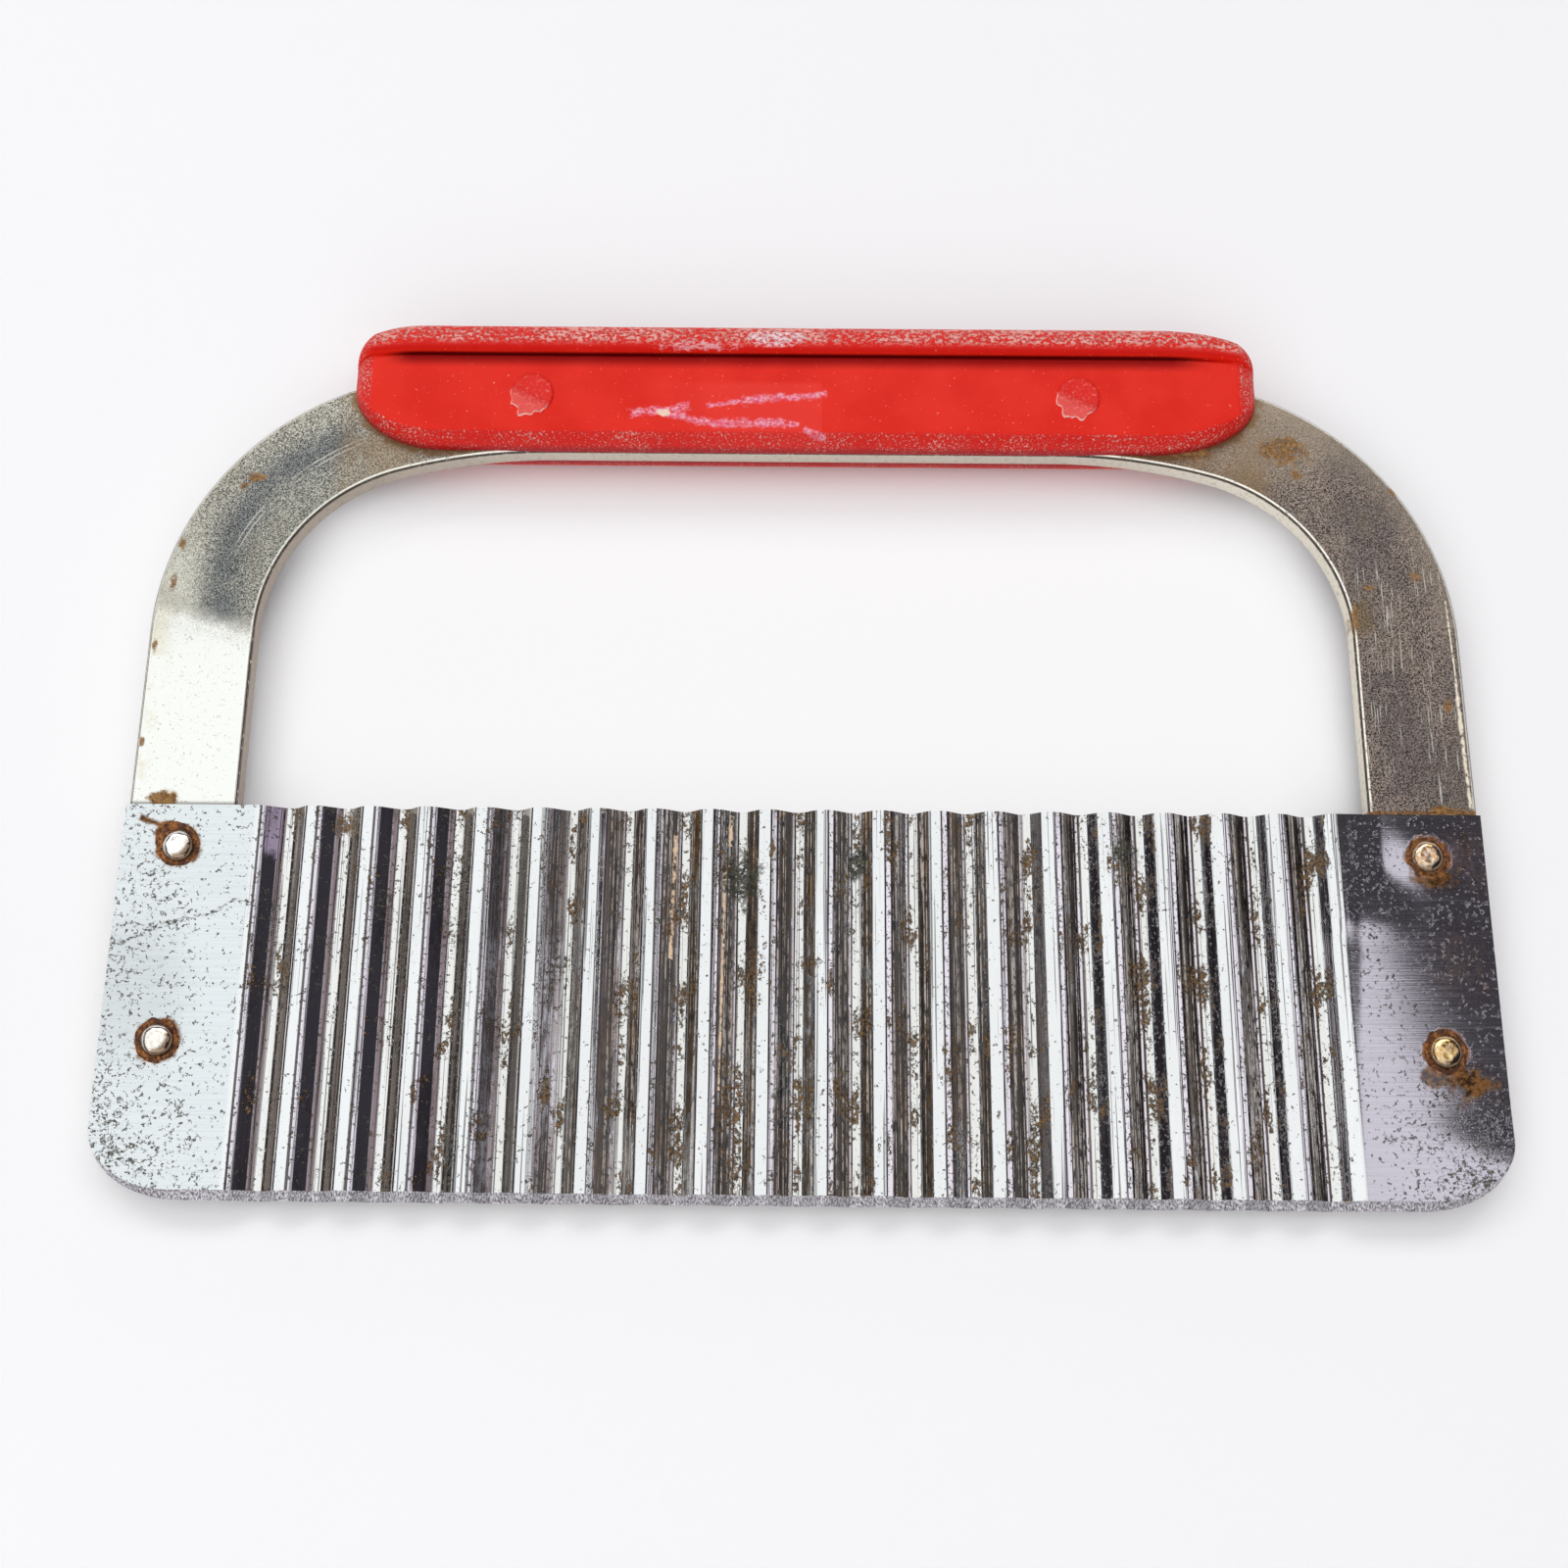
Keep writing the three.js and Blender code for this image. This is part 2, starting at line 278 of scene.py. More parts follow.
# The press gave each wave narrow flats: share of the wave from its crest, and tilt to the right in degrees
wave_tilts = [
    (0, 2), (0.02, 11.5), (0.045, 18.5), (0.12, 22), (0.145, 30), (0.17, 39), (0.32, 40.5), (0.36, 37),
    (0.39, 30), (0.412, 24), (0.44, 18), (0.463, 15), (0.475, 12), (0.49, 7), (0.5, 3), (0.53, -10),
    (0.56, -21), (0.64, -29.5), (0.66, -39), (0.685, -44), (0.79, -45.5), (0.82, -43.5), (0.845, -40),
    (0.858, -35), (0.872, -25), (0.9, -13), (0.94, -6), (0.98, -2), (1, 2)]
shares = np.linspace(0, 1, 401)
slopes = -np.tan(np.radians(np.interp(shares, *zip(*wave_tilts))))
heights = np.concatenate([[0], np.cumsum((slopes[1:] + slopes[:-1]) / 2)])
heights -= heights[-1] * shares
heights /= -heights.min()
chance = random.Random(4)
valley_depths = [chance.uniform(0.95, 1) for _ in range(wave_count)]


def opened_at(x):
    """How much wider a crest lies from the middle than in an even row, which the press opened to the left."""
    return -left_opening * x if x < 0 else -right_opening * x


def pressed_at(x):
    """Place in an even row of waves, middle to middle: valleys moved less than crests."""
    turn = 2 * math.pi * (x - wave_shift + wave_half) / wave_pitch
    return x - wave_shift + opened_at(x) * (valley_push + crest_push * math.cos(turn))


def wave_height(x, y):
    """Height of the sheet's middle surface below the tabs: each valley is pressed a little differently."""
    along = pressed_at(x) + 0.06 * unevenness(0.2 * x, y, 30)
    if abs(along) >= wave_half:
        return 0
    wave, share = divmod((along + wave_half) / wave_pitch, 1)
    return wave_depth * valley_depths[int(wave)] * float(np.interp(share, shares, heights))


def ramp(value, start, end):
    """0 before start, 1 past end and in proportion between them."""
    return min(1, max(0, (value - start) / (end - start)))


def sheet_height(x, y):
    """The waves with shallow dents, and the right tab's bulge, lift, ridge and bent lower corner."""
    rivet = rivet_places["rivet_upper_right"]
    away = ((x - rivet.x) ** 2 + (y - rivet.y) ** 2) / bulge_radius ** 2
    dents = 0.02 * unevenness(x, y, 17, 1) + 0.008 * unevenness(x, y, 6, 2)
    bent = ramp(y, blade_low.y + 13, blade_low.y + 5)
    corner = corner_slope * max(0, x - wave_half) * bent * bent * (3 - 2 * bent)
    slack = 3.5 * ramp(y, -18.2, -19.8)
    lift = lift_height * ramp(y, -26, -23.5) * min(ramp(x, 65, 69.5), ramp(x, 75.5 + slack, 71))
    crease = 0.9 + 1.3 * ramp(y, -42, -26) + 0.3 * ramp(y, -42, -57)
    ridge = ridge_slope * max(0, min(69.8 + crease - x, crease * (x - 68.3) / 1.5))
    return wave_height(x, y) + bulge_height * math.exp(-away) + lift + ridge + corner + dents


def edge_height(x):
    """Y of the cutting edge: straight, then swept up round each lower corner."""
    inset = blade_end - abs(x)
    run = max(0, 1 - inset / corner_width)
    return blade_low.y + corner_height * (1 - math.sqrt(1 - run * run)) + 0.04 * abs(unevenness(x, 0, 1.1, 3))


def blade_ring(x):
    """The sheet's section at x, up the front from the cutting edge and down the back."""
    edge = edge_height(x)
    corner = max(0, 1 - (blade_end - abs(x)) / corner_width)
    bevel_top = edge + bevel_height * (1 - 0.7 * corner) + 0.12 * unevenness(x, 0, 4, 5)
    levels = [bevel_top + (blade_high.y - bevel_top) * row / rows for row in range(rows + 1)]
    front = [(edge, edge_thickness - sheet / 2)] + [(y, sheet / 2) for y in levels]
    back = [(y, -sheet / 2) for y in reversed(levels)] + [(edge, -sheet / 2)]
    ring = []
    for y, offset in front + back:
        z = sheet_height(x, y)
        slope = (sheet_height(x + 0.02, y) - sheet_height(x - 0.02, y)) / 0.04
        length = math.hypot(1, slope)
        along = max(-blade_end, min(blade_end, x - slope / length * offset))
        ring.append((along, y, sheet_middle + z + offset / length))
    return ring


corner_insets = [
    corner_width * (1 - math.cos(math.pi / 2 * i / corner_steps)) for i in range(corner_steps + 1)]
tab_insets = [corner_width + tab_step * i for i in range(1, tab_steps + 1)]
tab_stations = [blade_end - inset for inset in corner_insets + tab_insets]
wave_stations = [
    wave_shift + wave_pitch * i / columns_per_wave - wave_half
    for i in range(wave_count * columns_per_wave + 1)
]
left_stations = [-x for x in tab_stations if -x < wave_stations[0] - station_gap]
right_stations = [x for x in reversed(tab_stations) if x > wave_stations[-1] + station_gap]
blade_rings = [blade_ring(x) for x in left_stations + wave_stations + right_stations]
blade = loft("blade_sheet", blade_rings, sharp=20)

steel = Finish("stained_stainless")
even = steel.x - wave_shift
opened = steel.most(steel.x, 0) * (-right_opening) + steel.math("MINIMUM", steel.x, 0) * (-left_opening)
swing = steel.math("COSINE", (even + wave_half) * (2 * math.pi / wave_pitch))
along = even + opened * (swing * crest_push + valley_push)
on_tab = abs(along).rise(wave_half - 0.2, wave_half + 0.5)
on_waves = 1 - on_tab
turns = (along + wave_half) * (1 / wave_pitch)
phase = steel.math("FRACT", turns)
on_left = steel.x.rise(-22, -46) * on_waves
on_right = steel.x.rise(20, 40) * on_waves
past_left = on_waves - on_left
in_middle = past_left - on_right
crest = abs(steel.math("FRACT", phase + 0.57) - 0.5).rise(0.13, 0.1)
shoulder = phase.band(0.03, 0.06, 0.13, 0.16)
right_flank = phase.band(0.13, 0.165, 0.41, 0.46)
valley = phase.band(0.44, 0.5, 0.58, 0.64)
left_flank = (phase + on_left * 0.06).rise(0.63, 0.66) * phase.rise(0.83, 0.79)
fray = steel.noise(1.6, detail=5, rough=0.65) - 0.5
brushed = steel.noise(0.16, detail=2, stretch=(60, 1, 1))
die_lines = steel.noise(0.3, detail=3, rough=0.6, stretch=(1, 120, 1), shift=3)
light_lines = steel.noise(0.24, detail=2, stretch=(1, 150, 1), shift=41).rise(0.54, 0.575)
dark_lines = steel.noise(0.3, detail=2, stretch=(1, 150, 1), shift=47).rise(0.6, 0.64)
clusters = steel.noise(6, rough=0.6, stretch=(1, 1.3, 1), shift=5)
fine_pits = steel.noise(0.34, rough=0.7, stretch=(1.4, 1, 1), shift=9)
coarse_pits = steel.noise(0.9, detail=5, rough=0.7, shift=19)
left_edge = steel.x.rise(-77, -89)
lower_corner = steel.y.rise(-40, -56) * abs(steel.x).rise(70, 80)
worn_border = steel.streak((71, -14), (82, -48), 7, fray * 2, 0.9)
right_tab = on_tab * steel.x.rise(-1, 1)
crowding = (
    (clusters - 0.5) * 0.3 + on_tab * -0.045 + left_edge * 0.055 + right_tab * -0.03
    + lower_corner * right_tab.slide(0.06, 0.12) + worn_border * 0.05
    + on_waves * (valley * -0.02 + shoulder * 0.025 + crest * -0.06))
pit_grain = fine_pits * 0.55 + coarse_pits * 0.45
curls = abs(steel.noise(1.5, rough=0.65, shift=23) - 0.5)
broken = steel.noise(0.6, detail=2, shift=29) + crowding + on_tab * 0.04
flecks = curls.rise(0.035, 0.012) * broken.rise(0.55, 0.62)
pits = steel.most((pit_grain + crowding).rise(0.6, 0.64), flecks)

middle = abs(steel.x - 18).rise(80, 25)
film_cloud = steel.noise(8, rough=0.6, stretch=(0.7, 3, 1), shift=12)
film_mottle = steel.noise(0.9, detail=5, rough=0.7, stretch=(0.6, 2, 1), shift=33)
stained_flank = left_flank * abs(steel.x).rise(48, 24)
film = (
    (film_cloud + middle * 0.16 + (film_mottle - 0.5) * 0.5).rise(0.45, 0.66) * on_waves
    * steel.most(right_flank * 0.85, stained_flank, valley * 0.06, 0.06))
rust_cloud = steel.noise(0.5, detail=6, rough=0.8, stretch=(1, 1.4, 1), shift=15)
rust_spread = (
    steel.noise(5, rough=0.6, stretch=(0.7, 1.5, 1), shift=44) + middle * 0.05 + valley * 0.06
    + left_flank * 0.04 + crest * -0.08).rise(0.52, 0.72)
rust = (rust_cloud + rust_spread * 0.2).rise(0.65, 0.71) * on_waves
rust = steel.most(rust, steel.spot(-60, -11.6, 1.5, 1.5, fray * 3, 0.8) * fine_pits.rise(0.4, 0.55))
mould_spots = [(-7.7, -18.6, 2.3, 3.2), (7.3, -16.5, 1.5, 1.9), (42.4, -14.9, 1.5, 1.8)]
mould = (
    steel.most(*(steel.spot(*oval, fray * 3, 0.7) for oval in mould_spots))
    * fine_pits.rise(0.41, 0.51))
cracked_line = (
    steel.most(*(
        steel.streak(*crack, 0.4, fray * 8, 0.8)
        for crack in (
            ((-88.3, -28.2), (-85.2, -27)), ((-84.6, -26.4), (-82.2, -25.6)), ((-82.2, -25.6), (-76, -23.9)),
            ((-76, -23.9), (-73.6, -22.4)), ((-73.6, -22.4), (-70.6, -22.3))))) * fine_pits.rise(0.45, 0.56))
stain = steel.most(
    *(steel.spot(place.x, place.y, 2.95, 2.9, fray * 0.7, 0.25) for place in rivet_places.values()),
    steel.spot(-83, -13.2, 1.7, 1.5, fray * 1.4, 0.4),
    steel.streak((-84, -12.4), (-86.6, -11.4), 0.7, fray * 3, 0.7))
runs = steel.most(
    steel.spot(82.2, -18, 2.6, 1.7, fray * 2.4, 0.9), steel.spot(85.2, -14, 1.8, 2.6, fray * 2.4, 1) * 0.5,
    steel.spot(84.7, -44.4, 3.2, 2.3, fray * 2.6, 0.9),
    steel.spot(79.7, -43.6, 1.6, 1.5, fray * 1.6, 0.4) * 0.8)
tarnish = (
    right_tab * film_mottle.rise(0.36, 0.66)
    * steel.most(steel.spot(88, -15, 2.6, 5, fray * 2.4, 1), steel.spot(84.6, -29, 3.6, 4.6, fray * 2.4, 1)))

tab = steel.coats(
    (212, 217, 219),
    (steel.x.rise(-60, 70), (186, 181, 192)),
    (brushed.rise(0.4, 0.7) * 0.16, (150, 153, 156)),
    (steel.spot(-86, -34, 7, 9, fray, 1) * 0.22, (140, 144, 146)))
bare = steel.blend(on_tab, (222, 223, 224), tab)
colour = steel.blend(valley * on_waves * 0.3, bare, steel.blend(film_mottle, (196, 190, 170), (228, 224, 214)))
browner = steel.noise(9, detail=3, stretch=(0.6, 2, 1), shift=52).rise(0.5, 0.66) * middle
colour = steel.blend(
    film, colour,
    steel.blend(
        film_mottle.rise(0.35, 0.65), steel.blend(browner, (50, 42, 38), (64, 41, 21)),
        steel.blend(browner, (100, 85, 68), (120, 87, 47))))
# Painted reflections: bands at set places across the waves, dark where the flanks would mirror the dim room and
# lilac or grey where the shoulders would mirror a lamp, with thin painted dark lines beside the crests and
# along some valleys.
painted_reflection_bands = [
    (on_left, 0.052, 0.068, 0.098, 0.11, (88, 82, 85)), (on_left, 0.112, 0.125, 0.155, 0.17, (204, 196, 206)),
    (on_left, 0.16, 0.18, 0.33, 0.36, (20, 17, 26)), (on_left, 0.33, 0.36, 0.418, 0.445, (124, 113, 112)),
    (past_left, 0.03, 0.042, 0.054, 0.066, (82, 74, 78)), (past_left, 0.135, 0.148, 0.17, 0.185, (60, 51, 53)),
    (in_middle, 0.447, 0.457, 0.469, 0.479, (84, 74, 74)),
    (on_right, 0.25, 0.29, 0.41, 0.45, (46, 37, 36)), (on_right, 0.464, 0.487, 0.513, 0.528, (86, 75, 75)),
    (on_right, 0.66, 0.685, 0.76, 0.79, (158, 152, 156))]
for where, *reach, band_colour in painted_reflection_bands:
    colour = steel.blend(phase.band(*reach) * where * 0.97, colour, band_colour)
pale_top = steel.spot(-69.3, -12, 2.2, 4, fray, 0.5) * phase.band(0.14, 0.17, 0.36, 0.4)
colour = steel.coats(
    colour,
    (pale_top * 0.85, (148, 138, 154)),
    (left_flank * on_left * 0.7, steel.blend(film_mottle, (150, 141, 129), (206, 196, 181))))
flanks = steel.most(right_flank, left_flank * (1 - on_right)) * on_waves
light_lines = light_lines * flanks * film_mottle.rise(0.36, 0.56) * steel.x.rise(-45, -20)
colour = steel.coats(colour, (dark_lines * on_waves * 0.7, (44, 40, 42)), (light_lines * 0.85, (230, 222, 216)))
# Painted highlights: three thin peach streaks on the flanks near the middle, broken up by pits, standing in for
# a warm light's reflection.
painted_peach_highlights = (
    coarse_pits.rise(0.38, 0.5)
    * steel.most(*(
        steel.streak(*highlight_line, fray * 3, 0.7)
        for highlight_line in (
            ((-16.55, -13), (-16.85, -29), 0.5), ((-9.25, -10.4), (-9.35, -14), 0.5),
            ((-9.95, -18), (-10.25, -46), 0.3)))))
colour = steel.coats(
    colour,
    (painted_peach_highlights, (255, 224, 190)),
    (pits, steel.blend(film_mottle, (52, 48, 42), (96, 92, 82))),
    (cracked_line, (66, 63, 54)),
    (rust, steel.blend(fine_pits.rise(0.38, 0.6), (42, 32, 22), (134, 102, 64))),
    (mould, steel.blend(coarse_pits.rise(0.42, 0.6), (34, 33, 28), (86, 86, 70))),
    (tarnish * 0.8, (118, 92, 70)),
    (runs, steel.blend(coarse_pits.rise(0.38, 0.6), (50, 29, 13), (140, 98, 56))),
    (stain, steel.blend(coarse_pits.rise(0.35, 0.65), (66, 36, 16), (150, 98, 48))))
crusted = steel.most(rust, mould * 0.9, stain * stain * 0.45)
dulled = steel.most(
    crusted, pits * pits * right_tab.slide(0.8, 0.15), film * film * 0.45, cracked_line, light_lines * 0.6,
    painted_peach_highlights, runs * runs * 0.25, tarnish * 0.13, right_tab * brushed.rise(0.5, 0.68).slide(0.025, 0.06))
steel.relief(
    brushed * on_tab * 0.004 + die_lines * on_waves * 0.014 + pits * -0.02 + crusted * pit_grain * 0.15)
steel.set(
    colour=colour, metal=1 - dulled * 0.9,
    rough=dulled.slide(on_tab.slide(0.07, brushed.slide(0.04, 0.08)), 0.6))

ground = Finish("ground_edge")
grinding = ground.noise(0.22, detail=3, rough=0.65, stretch=(1, 30, 1))
nicks = ground.noise(1.2, rough=0.7, shift=4).rise(0.62, 0.68)
ground.relief(grinding * 0.05 + nicks * -0.05)
colour = ground.blend(grinding.rise(0.36, 0.66), (96, 92, 98), (222, 219, 225))
ground.set(
    colour=ground.blend(nicks * 0.7, colour, (90, 86, 84)), metal=nicks.slide(0.75, 0.3),
    rough=grinding.slide(0.3, 0.45))

blade.data.materials.append(steel.material)
blade.data.materials.append(ground.material)
ring_size = 2 * (rows + 2)
for face in blade.data.polygons:
    rests = [vertex % ring_size for vertex in face.vertices]
    if len(rests) == 4 and set(rests) == {0, 1}:
        face.material_index = 1
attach(blade, "root")
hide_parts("blade")


# Bow: one flat steel bar bent on edge, with its legs behind the blade's tabs. Its nickel plate is still
# bright low on the left leg, dull and finely pitted elsewhere, and rusting through where water stood.
bow_low, bow_high = node_box("bow")
bar_width = 14.3
bar_half = bar_width / 2
bar_thickness = bow_high.z - bow_low.z
bar_edge = 0.65
bar_edge_steps = 5
bar_step = 1.2
shoulder_radius = 32.2
shoulder_turn = math.radians(74)
crown_radius = 85
bar_y = bow_high.y - bar_half
leg_x = bow_high.x - bar_half
shoulder_x = leg_x - shoulder_radius
crown_x = shoulder_x + (shoulder_radius - crown_radius) * math.cos(shoulder_turn)
crown_y = bar_y - crown_radius
shoulder_y = crown_y + (crown_radius - shoulder_radius) * math.sin(shoulder_turn)


def arc(centre_x, centre_y, radius, start, end, step):
    """Points on an arc in mm with the direction outwards at each, about a step apart."""
    count = max(2, round(radius * abs(end - start) / step))
    for i in range(count):
        angle = start + (end - start) * i / count
        out = Vector((math.cos(angle), math.sin(angle)))
        yield Vector((centre_x, centre_y)) + radius * out, out


def bow_line(step):
    """The middle of the bar from the right leg's end over the top to the left leg's end."""
    leg = shoulder_y - bow_low.y
    count = round(leg / step)
    right = [(Vector((leg_x, bow_low.y + leg * i / count)), Vector((1, 0))) for i in range(count)]
    right += arc(shoulder_x, shoulder_y, shoulder_radius, 0, shoulder_turn, step)
    right += arc(crown_x, crown_y, crown_radius, shoulder_turn, math.pi / 2, step)
    flat = round(crown_x / step)
    right += [(Vector((crown_x * (1 - i / flat), bar_y)), Vector((0, 1))) for i in range(flat)]
    middle_point = (Vector((0, bar_y)), Vector((0, 1)))
    left = [(Vector((-p.x, p.y)), Vector((-out.x, out.y))) for p, out in reversed(right)]
    return right + [middle_point] + left


def bar_section():
    """The bar's section with rolled edges: distance outwards and height, all round."""
    section = []
    for corner, (side, level) in enumerate(((1, 1), (-1, 1), (-1, -1), (1, -1))):
        for i in range(bar_edge_steps + 1):
            angle = math.pi / 2 * (corner + i / bar_edge_steps)
            section.append((
                side * (bar_half - bar_edge) + bar_edge * math.cos(angle),
                level * (bar_thickness / 2 - bar_edge) + bar_edge * math.sin(angle)))
        if side == level:
            section += [
                (share * (bar_half - bar_edge), level * bar_thickness / 2)
                for share in (0.97 * side, -0.97 * side)]
    return section


bar_middle = (bow_low.z + bow_high.z) / 2
bow_rings = []
for point, out in bow_line(bar_step):
    ring = []
    for across, height in bar_section():
        x, y = point + across * out
        ring.append((x, y, bar_middle + height + 0.004 * unevenness(x, y, 12, 8)))
    bow_rings.append(ring)
bow = loft("bow_bar", bow_rings)

nickel = Finish("dull_nickel")
to_right, _, to_front = nickel.facing()
upright = abs(to_front)
on_side = upright.rise(0.6, 0.3)
on_round = upright.band(0.72, 0.84, 0.95, 0.985)
fray = nickel.noise(1.4, detail=5, rough=0.65, shift=2) - 0.5
grain = nickel.noise(0.2, rough=0.8)
pepper = grain.rise(0.455, 0.55)
dark_flecks = nickel.noise(0.36, detail=3, rough=0.7, shift=43).rise(0.57, 0.63)
# Painted glints: pale flecks over the plate, where its specks would catch the light.
painted_glints = nickel.noise(0.28, detail=3, rough=0.7, shift=48).rise(0.62, 0.68)
wear = nickel.noise(7, detail=5, rough=0.65, shift=6)
mottle = nickel.noise(0.7, detail=5, rough=0.7, shift=27)
polished = (
    nickel.x.rise(-60, -66)
    * (nickel.y + (grain - 0.5) * 9 + fray * 2.5 + (nickel.x + 81) * 0.25).rise(18.8, 14.6))

from_bend = nickel.vector(
    "LENGTH",
    nickel.vector(
        "MULTIPLY",
        nickel.vector("SUBTRACT", nickel.vector("ABSOLUTE", nickel.place), (shoulder_x, shoulder_y, 0)),
        (1, 1, 0)))
on_bend = nickel.y.rise(shoulder_y - 4, shoulder_y + 4)
bend_scratches = (
    nickel.most(*(abs(from_bend - radius).rise(0.13, 0.05) for radius in (30.75, 31.4)))
    * nickel.spot(-71, 37, 10, 11, fray * 1.4, 0.7) * wear.rise(0.35, 0.5))
leg_scratches = (
    nickel.noise(0.2, detail=2, stretch=(1, 26, 1), shift=11).rise(0.62, 0.69) * wear.rise(0.38, 0.52)
    * nickel.x.rise(68, 75) * nickel.y.rise(36, 22))
scratches = nickel.most(bend_scratches * 0.6, leg_scratches * 0.75)
band_places = [(-79.7, 18.3), (-79.5, 24.7), (-78.7, 30.3), (-75.1, 37.3), (-71.1, 40.7), (-64.9, 44)]
smudge = nickel.most(*(
    nickel.streak(*ends, 4.4, (mottle - 0.5) * 3.4, 1) for ends in zip(band_places, band_places[1:])))
smudge = smudge * wear.rise(0.15, 0.45) * (1 - polished)
rust_spots = [
    (54.6, 43.1, 2.6, 0.9), (66.8, 43.7, 3.2, 1.9), (68.7, 39.9, 0.8, 0.6), (81.8, 37.6, 0.7, 0.6),
    (83.9, 24.7, 0.8, 0.6), (77.4, 23, 0.7, 0.4), (75.1, 18.3, 0.5, 1.7), (86.5, 5.9, 0.5, 0.9),
    (-76.5, 38.4, 1.2, 0.7), (-78, 37.1, 0.6, 0.5), (-85.8, 28.1, 0.5, 0.8), (-86.4, 22.5, 0.5, 0.9),
    (-88.2, -0.5, 0.35, 0.7), (-88, 13.1, 0.3, 0.8)]
spots = nickel.most(*(nickel.spot(*oval, fray * 2.6, 1) for oval in rust_spots))
junctions = nickel.most(
    nickel.spot(-84.4, -8.5, 1.9, 1.2, fray * 2, 0.6),
    nickel.streak((74.8, -9.1), (88.8, -8.9), 0.5, fray * 6, 0.8),
    nickel.spot(84.3, -8.9, 2.2, 0.7, fray * 3, 0.7))
blooms = nickel.noise(2.2, detail=5, rough=0.65, shift=17).rise(0.69, 0.76) * nickel.y.rise(5, 25)
rusted = nickel.most(spots * mottle.rise(0.34, 0.52), junctions, blooms * 0.6)
pits = nickel.noise(0.42, rough=0.7, shift=31).rise(0.61, 0.67)
grip_outline = nickel.most(
    nickel.spot(-50.5, 51.75, 13.8, 9.8, fray * 0.3, 0.08),
    nickel.spot(48.5, 50.75, 15.8, 8.8, fray * 0.3, 0.08))
wet_mark = nickel.spot(76.2, 18.6, 1.4, 2.8, fray, 1)
# Painted highlight: a pale ragged line along the right leg's outer edge.
painted_edge_highlight = (
    nickel.most(
        nickel.streak((87.9, 9), (88.2, -8), 0.45, fray * 4, 0.7),
        nickel.streak((87.6, 21), (88, 9), 0.2, fray * 5, 0.7)) * mottle.rise(0.36, 0.5))
grip_grime = abs(nickel.x).band(40, 55, 63, 66.5) * wear.rise(0.3, 0.6)
stand_line = nickel.y.rise(-8.6, -9.2)

left_margin = nickel.x.rise(-80, -87) * nickel.y.rise(36, 22)
left_plate = nickel.coats(
    (68, 70, 66),
    (pepper, (202, 198, 184)),
    (from_bend.rise(36, 31) * on_bend * 0.3, nickel.blend(pepper, (50, 56, 58), (126, 132, 128))),
    (left_margin * 0.55, (226, 226, 212)))
right_plate = nickel.blend(pepper, (20, 16, 16), (172, 155, 144))
darker = nickel.noise(11, rough=0.6, shift=36).rise(0.44, 0.6)
right_plate = nickel.coats(
    right_plate,
    (darker * 0.4, (66, 62, 66)),
    (from_bend.rise(34.5, 39) * on_bend * 0.4, (164, 150, 132)),
    (nickel.spot(64, 48, 12, 9, fray, 1) * 0.45, (170, 154, 132)))
plate = nickel.coats(
    left_plate,
    (nickel.x.rise(-40, 50), right_plate),
    (wear.rise(0.48, 0.66) * 0.3, (124, 112, 90)),
    (dark_flecks * 0.55, (46, 43, 42)),
    (painted_glints * 0.5, (222, 214, 202)),
    (smudge * 0.72, nickel.blend(pepper, (28, 32, 40), (104, 112, 116))))
shine = nickel.coats(
    (230, 231, 226),
    (pits * 0.7, (136, 130, 108)),
    (nickel.x.rise(-84.5, -88) * wear.rise(0.5, 0.62) * 0.35, (200, 184, 140)))
colour = nickel.coats(
    plate,
    (polished, shine),
    (scratches, (214, 210, 200)),
    (grip_grime * 0.4, (140, 108, 62)),
    (grip_outline * 0.75, nickel.blend(mottle, (74, 46, 20), (150, 112, 58))),
    (wet_mark * 0.45, (116, 94, 50)),
    (painted_edge_highlight, (246, 236, 214)),
    (on_round * mottle.rise(0.3, 0.5), (244, 240, 228)))
edge_crease = upright.band(0.22, 0.38, 0.76, 0.86) * mottle.rise(0.33, 0.46)
# Painted light and shade on the bar's sides: pale where a side faces left towards the lamps, darker where it
# faces right, with mottled brown grime over both.
side_light_shade_and_grime = nickel.coats(
    (236, 230, 214),
    (to_right.rise(-0.5, 0.5), (180, 168, 154)),
    (mottle.rise(0.5, 0.7) * 0.4, (128, 112, 92)))
colour = nickel.coats(
    colour,
    (on_side, side_light_shade_and_grime),
    (edge_crease * 0.85, (66, 57, 50)),
    (stand_line * 0.7, (66, 46, 34)))
rust_colour = nickel.coats(
    (122, 76, 32),
    (mottle.rise(0.35, 0.65), (176, 136, 80)),
    (dark_flecks, (46, 26, 12)))
colour = nickel.blend(rusted, colour, rust_colour)
crusted = rusted * rusted
nickel.relief(grain * polished.slide(0.03, 0.002) + scratches * -0.01 + crusted * grain * 0.12)
nickel.set(
    colour=colour, metal=crusted.slide(on_side.slide(polished.slide(0.6, 0.95), 0.5), 0.05),
    rough=crusted.slide(on_side.slide(on_round.slide(polished.slide(0.4, 0.08), 0.2), 0.45), 0.75))
bow.data.materials.append(nickel.material)
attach(bow, "root")
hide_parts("bow")


# Rivets: plain steel, with a factory-made round head behind the bow and the shank's end hammered
# into a small flat-topped button in front of the tab. Rust creeps in from the rim.
rivet_shank = 3.2
set_head = 4.1
round_head = 5.8
rim_steps = 44
dome_steps = 9
button_steps = 15
button_edge = 0.1


def all_round(steps):
    """Directions all round the Z axis."""
    for i in range(steps):
        angle = 2 * math.pi * i / steps
        yield Vector((math.cos(angle), math.sin(angle)))


def turned_ring(profile_radius, z, seed, roughness):
    """A circle about the Z axis that wanders a little from true."""
    ring = []
    for out in all_round(rim_steps):
        radius = profile_radius * (1 + roughness * unevenness(2 * out.x, 2 * out.y, 1.6, seed))
        ring.append((radius * out.x, radius * out.y, z))
    return ring


